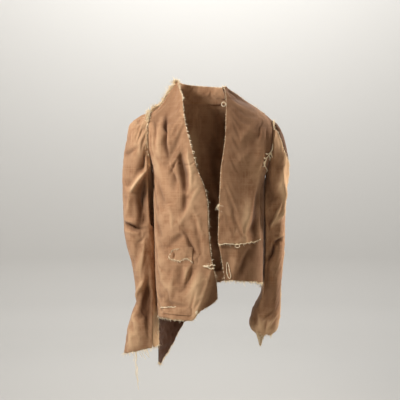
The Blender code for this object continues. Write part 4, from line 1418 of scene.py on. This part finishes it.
# Frayed ends of raw edges: the panel that they grow on, the name, the sheet and its side, the first
# and last row there, how far apart the ends are, their length, how wild they are, how much they hang
# down, and the node that they stand for
FRAYED_EDGES = (
    ("front_right", "front_right", "front_right", "first", 0, None, 1.5, 4.5, 0.5, 0.22, ()),
    ("front_right", "neck_right", "front_right", "first", 0, 14, 0.5, 6, 0.9, 0, ()),
    ("front_right", "hem_right", "front_right", "bottom", 0, None, 1.6, 4.5, 0.5, 0.22, ()),
    ("front_right", "collar_right", "front_right", "top", 0, None, 0.6, 7, 0.9, 0, ()),
    ("collar_back", "collar", "collar", "top", 0, None, 1.6, 4.5, 0.5, 0, ()),
    ("front_left", "collar_left", "front_left", "top", 0, None, 0.8, 6, 0.5, 0, ()),
    ("lapel_left", "front_left", "lapel", "first", 0, None, 2.2, 3.5, 0.5, 0.22, ()),
    ("front_left", "front_left_low", "front_left", "first", 120, None, 1.6, 4.5, 0.5, 0.22, ()),
    ("front_left", "hem_left", "front_left", "bottom", 0, None, 0.8, 7, 0.5, 0.22, ("fray_hem_left",)),
    ("lapel_left", "lapel", "lapel", "bottom", 0, None, 1.0, 4.5, 0.5, 0.22, ()),
    ("back", "tail", "back", "bottom", 0, None, 1.3, 6.5, 0.5, 0.22, ()),
    ("back", "tail_tip", "back", "bottom", 0, 22, 0.35, 7, 0.9, 0.22, ()),
    (
        *("sleeve_right_top", "cuff_right", "sleeve_right_top", "bottom", 0, None),
        *(1.4, 8, 0.5, 0.22, ("fray_cuff_right",)),
    ),
    ("sleeve_right_under", "cuff_under", "sleeve_right_under", "bottom", 0, None, 1.4, 8, 0.5, 0.22, ()),
    ("sleeve_left_front", "tear", "sleeve_left_front", "first", 3, 96, 1.0, 4.5, 0.5, 0.22, ()),
    ("sleeve_left_front", "cuff_left", "sleeve_left_front", "bottom", 0, None, 1.0, 6, 0.5, 0.22, ()),
    ("sleeve_left_back", "cuff_far", "sleeve_left_back", "bottom", 0, None, 1.4, 5, 0.5, 0.22, ()),
    ("pocket_flap_right", "flap", "flap", "bottom", 0, None, 0.45, 5.5, 1.0, 0.22, ()),
)


def edge_strands(name, edge, spacing, length, material, seed, **looks):
    """Frayed thread ends along a raw edge: a sheet, a side of it, and the first and last row there."""
    rng = np.random.default_rng(seed)
    line, grow, out = border(*edge)
    roots, grow, out = along_line(line, spacing, rng, grow, out)
    return strands(name, roots, unit(grow), unit(out), material, length, seed, **looks)


def tuft(name, places, out, grow, count, spread, length, material, seed, **looks):
    """A clump of thread ends round some places."""
    rng = np.random.default_rng(seed)
    roots = np.repeat(places, count, axis=0) + rng.normal(0, spread, (len(places) * count, 3))
    outs = np.repeat(out, count, axis=0)
    heading = np.asarray(grow, float) + 0 * roots
    return strands(name, roots, unit(heading), outs, material, length, seed, **looks)


def seam_edge(name, line, stand, width, cloth, thread, seed, dense_by=0.35, **looks):
    """The raw seam allowance that stands off a seam, and its frayed threads."""
    rng = np.random.default_rng(seed)
    run = run_along(line)
    at = np.arange(0, run[-1], 1.5)
    places = read_rows(at, run, line)
    stand = unit(read_rows(at, run, stand))
    aside = unit(np.cross(np.gradient(places, axis=0), stand))
    lean = lattice(at, at * 0, 13, seed)[:, None]
    uneven = 0.7 + 0.35 * lattice(at, at * 0 + 50, 11, seed) + 0.3 * lattice(at, at * 0, 3, seed)
    high = width * uneven[:, None]
    share = np.linspace(0, 1, 6)[None, :, None]
    points = places[:, None] + stand[:, None] * high[:, None] * share
    points = points + aside[:, None] * (lean * 3)[:, None] * share**1.5
    out = np.repeat(aside[:, None], 6, axis=1)
    raw = 0.35 + 0.65 * share[..., 0] + np.zeros((len(at), 1))
    sheet = (points, out, {"raw": raw, "worn": 0.5 * lean * share[..., 0]})
    edge = settle(smooth_sheet(name, sheet, cloth, shell=0.6), ())
    count = max(2, int(run[-1] / dense_by))
    pick = rng.integers(0, len(at), count)
    roots = points[pick, rng.integers(2, 6, count)]
    looks = {"length": 6, "wild": 0.8, "weight": 0} | looks
    frays = strands("threads_" + name, roots, stand[pick], aside[pick], thread, seed=seed + 1, **looks)
    return edge, settle(frays, ())


def rows_between(sheet, side, high, low):
    """The stretch of a side edge between two heights: its line and the way out of the cloth."""
    line, _, out = border(sheet, side)
    kept = (line[:, 2] <= high) & (line[:, 2] >= low)
    return line[kept], out[kept]


def build_threads(sheets, cloth, thread):
    """All loose threads of the raw edges, seams and hems, under the node of the panel that they grow on."""
    s = sheets
    right = surface(s["front_right"])
    hem = surface(s["front_left"])
    both = surface(s["lapel"], s["front_left"], s["sleeve_left_front"])
    made = {}

    def keep(panel, piece, *nodes):
        made.setdefault(panel, []).append(settle(piece, nodes))

    def stand_off(panel, name, line, stand, width, seed, dense_by, *nodes, **looks):
        edge, frays = seam_edge(name, line, stand, width, cloth, thread, seed, dense_by, **looks)
        if nodes:
            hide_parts(*nodes)
        made.setdefault(panel, []).extend((edge, frays))

    for panel, name, sheet, side, first, last, spacing, length, wild, weight, nodes in FRAYED_EDGES:
        edge = (s[sheet], side, first, last)
        looks = {"wild": wild, "weight": weight}
        piece = edge_strands("ends_" + name, edge, spacing, length, thread, 71 + len(name), **looks)
        keep(panel, piece, *nodes)

    # The raw seam edges that stand along the shoulders, the armholes, the right wrist and the pocket
    thick = {"length": 8, "thick": 0.75}
    line, out = rows_between(s["front_right"], "last", 76, -24)
    stand = out + np.array((-0.4, -0.5, 0.5))
    stand_off("front_right", "edge_shoulder_right", line, stand, 9, 85, 0.1, "fray_shoulder_right", **thick)
    line, out = rows_between(s["front_right"], "last", -14, -56)
    stand = out + np.array((-0.7, -0.9, 0))
    stand_off("front_right", "end_shoulder_right", line, stand, 10, 86, 0.05, **thick)
    line, out = rows_between(s["front_right"], "last", -50, -178)
    stand_off("front_right", "edge_armhole_right", line, out + np.array((-0.7, -0.6, 0)), 8, 87, 0.5)
    line, out = rows_between(s["front_left"], "last", 50, -46)
    stand = out + np.array((0.3, -0.3, 0.6))
    stand_off("front_left", "edge_shoulder_left", line, stand, 4, 94, 0.4, length=5, thick=0.5)
    line, out = rows_between(s["front_left"], "last", -50, -84)
    stand_off("front_left", "edge_armhole_left", line, out + np.array((0.4, -0.4, 0)), 6, 88, 0.3)
    rings = np.linspace(RIGHT_VENT_START, 16, 160)
    roots, outs = (f("right", rings, float(STRIP_END)) for f in (sleeve_point, sleeve_normal))
    way = outs + np.array((0.8, -0.5, -0.2))
    frays = strands("threads_wrist_right", roots, unit(way), outs, thread, 5, 90, wild=0.8, thick=0.6)
    keep("sleeve_right_under", frays)
    arc, outs = laid(right, smooth_line(POCKET_TEAR, 40), 0.2)
    stand = outs + np.array((0.1, 0, -0.9))
    stand_off("front_right", "edge_pocket_right", arc, stand, 3.2, 92, 0.4, length=4)

    # Torn strands at the left armhole
    rng = np.random.default_rng(84)
    lines = []
    for strand in ARMHOLE_STRANDS:
        for _ in range(2):
            path, outs = laid(both, smooth_line(strand, 18), 0.4)
            beside = np.full(18, rng.uniform(0, 90))
            rise = 1.5 + 2.5 * abs(lattice(np.arange(18) * 5.0, beside, 16, 89))
            lines.append(path + outs * rise[:, None] + rng.normal(0, 0.5, path.shape))
    keep("front_left", cords("tangle_armhole_left", lines, 1.4, thread))

    # Loops of thread: at the left front edge, at the raw edge below it, and round a buttonhole
    ring = np.radians(np.arange(-80, 290, 18))
    for name, x, z, wide, high in LOOPS:
        place = laid(both, ((max(x, 64), z),), 2.5)[0][0]
        place[0] = min(place[0], x)
        sway = -1.5 - 1.2 * np.cos(2 * ring)
        line = np.stack((wide * np.sin(ring), sway, high * np.cos(ring)), axis=-1)
        keep("lapel_left", cords("loop_" + name, [place + line], 1.15, thread))
    path, _ = laid(hem, smooth_line(BUTTONHOLE, 40), 1.2)
    lines = [path + rng.normal(0, 0.35, path.shape) for _ in range(2)]
    keep("front_left", cords("loop_buttonhole", lines, 0.65, thread))

    path, _ = laid(right, smooth_line(HEM_STITCH, 24), 2.6)
    lines = [path + rng.normal(0, 0.4, path.shape) for _ in range(2)]
    keep("front_right", cords("stitch_hem_right", lines, 0.9, thread))
    line, grow, _ = border(s["front_right"], "first")
    lines = []
    for z in np.arange(*EDGE_STITCHES[:2], -EDGE_STITCHES[2]) + rng.normal(0, 1.2, 15):
        row = np.argmin(abs(line[:, 2] - z))
        lean = unit(grow[row] + rng.normal(0, 0.25, 3))
        lines.append(line[row] + lean * np.linspace(-3, rng.uniform(3.5, 6.5), 5)[:, None])
    keep("front_right", cords("stitches_front_right", lines, 0.85, thread))
    lines = []
    for strand in TAB_CORDS:
        path = smooth_line(strand, 16)
        depth = laid(right, np.minimum(path, (17, 0)), 2.6)[0][:, 1]
        lines.append(np.stack((path[:, 0], depth, path[:, 1]), axis=-1) + rng.normal(0, 0.5, (16, 3)))
    keep("tab_right", cords("cords_tab_right", lines, 1.6, thread))
    line, _, out = border(s["lapel"], "bottom")
    lines = [line + out * 0.6 + rng.normal(0, 0.25, line.shape) for _ in range(2)]
    keep("lapel_left", cords("edge_lapel_left", lines, 0.7, thread))

    # Pulled tufts at the ends of edges
    for panel, name, x, z, way, count, spread, length in TUFTS:
        places, outs = laid(right if panel == "front_right" else both, ((x, z),), 0.5)
        looks = {"wild": 0.8, "thick": 0.6}
        keep(panel, tuft("tuft_" + name, places, outs, way, count, spread, length, thread, 91, **looks))

    # Long threads that hang from the right cuff
    cuff = border(s["sleeve_right_top"], "bottom")[0]
    hanging = []
    for x, length, sway in HANGING_THREADS:
        root = cuff[np.argmin(abs(cuff[:, 0] - x) + (cuff[:, 1] > 0) * 50)]
        fall = np.linspace(0, 1, 16)
        curl = lattice(fall * length, np.full(16, x), 17, 93) * 3.5 * ease(fall * 3)
        path = (root[0] + sway * fall + curl, root[1] + curl * 0.5, root[2] + 2 - length * fall)
        hanging.append(np.stack(path, axis=-1))
    keep("sleeve_right_top", cords("threads_cuff_right", hanging, 0.75, thread))
    return made


def main():
    # Worn cotton canvas: a dull, dry, mottled brown that pales where it is rubbed and creams where torn;
    # its marks also paint highlights and shade onto it
    canvas = canvas_material("canvas", "#A67D5C", "#B38B69", "#946A4B")
    # The same canvas, darker: a painted-shade copy for the left sleeve's back piece, which lies in shade
    # behind the tear
    shaded = canvas_material("dark_canvas", "#94704F", "#A17B5A", "#835F43")
    # Undyed cotton thread: cream ends and stitches that stand out on the brown
    thread = plain_material("thread", "#FBE8C6")
    sheets = {"front_right": build_front_right(), "lapel": build_lapel(), "collar": build_collar()}
    sheets["front_left"], hidden = build_front_left()
    first = (COLLAR_LEVELS - 1) * NECK_PARTS
    sheets["back"] = build_back(*(sheets[name][0][first:, -1, 2] for name in ("front_right", "front_left")))
    right = RIGHT_SLEEVE_FOLDS + RIGHT_SLEEVE_CREASES
    left = LEFT_SLEEVE_FOLDS + LEFT_SLEEVE_CREASES
    seams = {
        "front_right": ("last",),
        "front_left": ("last",),
        "lapel": (),
        "back": ("first", "last", "top"),
        "collar": ("first", "last", "bottom"),
        "sleeve_right_top": ("top", "first", "last"),
        "sleeve_right_under": ("top", "first", "last"),
        "sleeve_left_front": ("top", "last"),
        "sleeve_left_back": ("top", "first", "last"),
    }
    turns = {
        "sleeve_right_top": ("right", steady(RIGHT_BACK_SEAM), steady(RIGHT_FRONT_SEAM), right, 100),
        "sleeve_right_under": ("right", vent, steady(RIGHT_BACK_SEAM + 360), right, 101),
        "sleeve_left_front": ("left", torn, steady(LEFT_INNER_SEAM), left, 110),
        "sleeve_left_back": ("left", steady(LEFT_INNER_SEAM), torn_far, left, 111),
    }
    torn_sides = {
        "sleeve_left_front": {"raw": ("bottom", "first"), "lift": TORN_EDGE_LIFT},
        "sleeve_left_back": {"under": TORN_DEPTH},
    }
    for name, settings in turns.items():
        sheets[name] = build_sleeve(*settings, seams[name], **torn_sides.get(name, {}))
    slacks = {name: SLACK for name in seams} | CALM_SLACK
    slacken(sheets, slacks, seams, {"front_left": hidden})
    chest = surface(sheets["front_right"])
    sheets["flap"] = patch(chest, FLAP_ACROSS, FLAP_TOP, FLAP_EDGE, 40, 18, 1.6, 120, ("bottom",))
    sheets["band"] = patch(chest, BAND_ACROSS, BAND_TOP, BAND_EDGE, 44, 12, 1.6, 121, ())
    sheets["tab"] = patch(chest, TAB_ACROSS, TAB_TOP, TAB_EDGE, 12, 6, 1.6, 122, ("top", "bottom"))
    fringes = build_threads(sheets, canvas, thread)
    plan = (
        ("front_right", "front_right", canvas, "canvas", SHELL),
        ("front_left", "front_left", canvas, "canvas", SHELL),
        ("lapel", "lapel_left", canvas, "canvas", SHELL),
        ("back", "back", canvas, "canvas", SHELL),
        ("collar", "collar_back", canvas, "canvas", SHELL),
        ("sleeve_right_top", "sleeve_right_top", canvas, "canvas", SHELL),
        ("sleeve_right_under", "sleeve_right_under", canvas, "canvas", SHELL),
        ("sleeve_left_front", "sleeve_left_front", canvas, "canvas", SHELL),
        ("sleeve_left_back", "sleeve_left_back", shaded, "dark_canvas", SHELL),
        ("flap", "pocket_flap_right", canvas, "canvas", 0.8),
        ("band", "hem_band_right", canvas, "canvas", 0.8),
        ("tab", "tab_right", canvas, "canvas", 0.8),
    )
    sizes, pieces = {}, {}
    for sheet, node, material, slot, shell in plan:
        points = sheets[sheet][0]
        pieces[node] = settle(smooth_sheet(node + "_cloth", sheets[sheet], material, shell), (node,))
        first = points[:-1, :-1]
        area = np.linalg.norm(np.cross(points[:-1, 1:] - first, points[1:, :-1] - first), axis=-1).sum()
        sizes[node] = [spans(points, 1)[:, -1].max() * MM, spans(points, 0)[-1].max() * MM, area * MM * MM]
    studio()
    low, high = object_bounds()
    sizes = {"cad": [list(v) for v in CAD_BOX], "visual": [list(low), list(high)], "cut": sizes}


main()
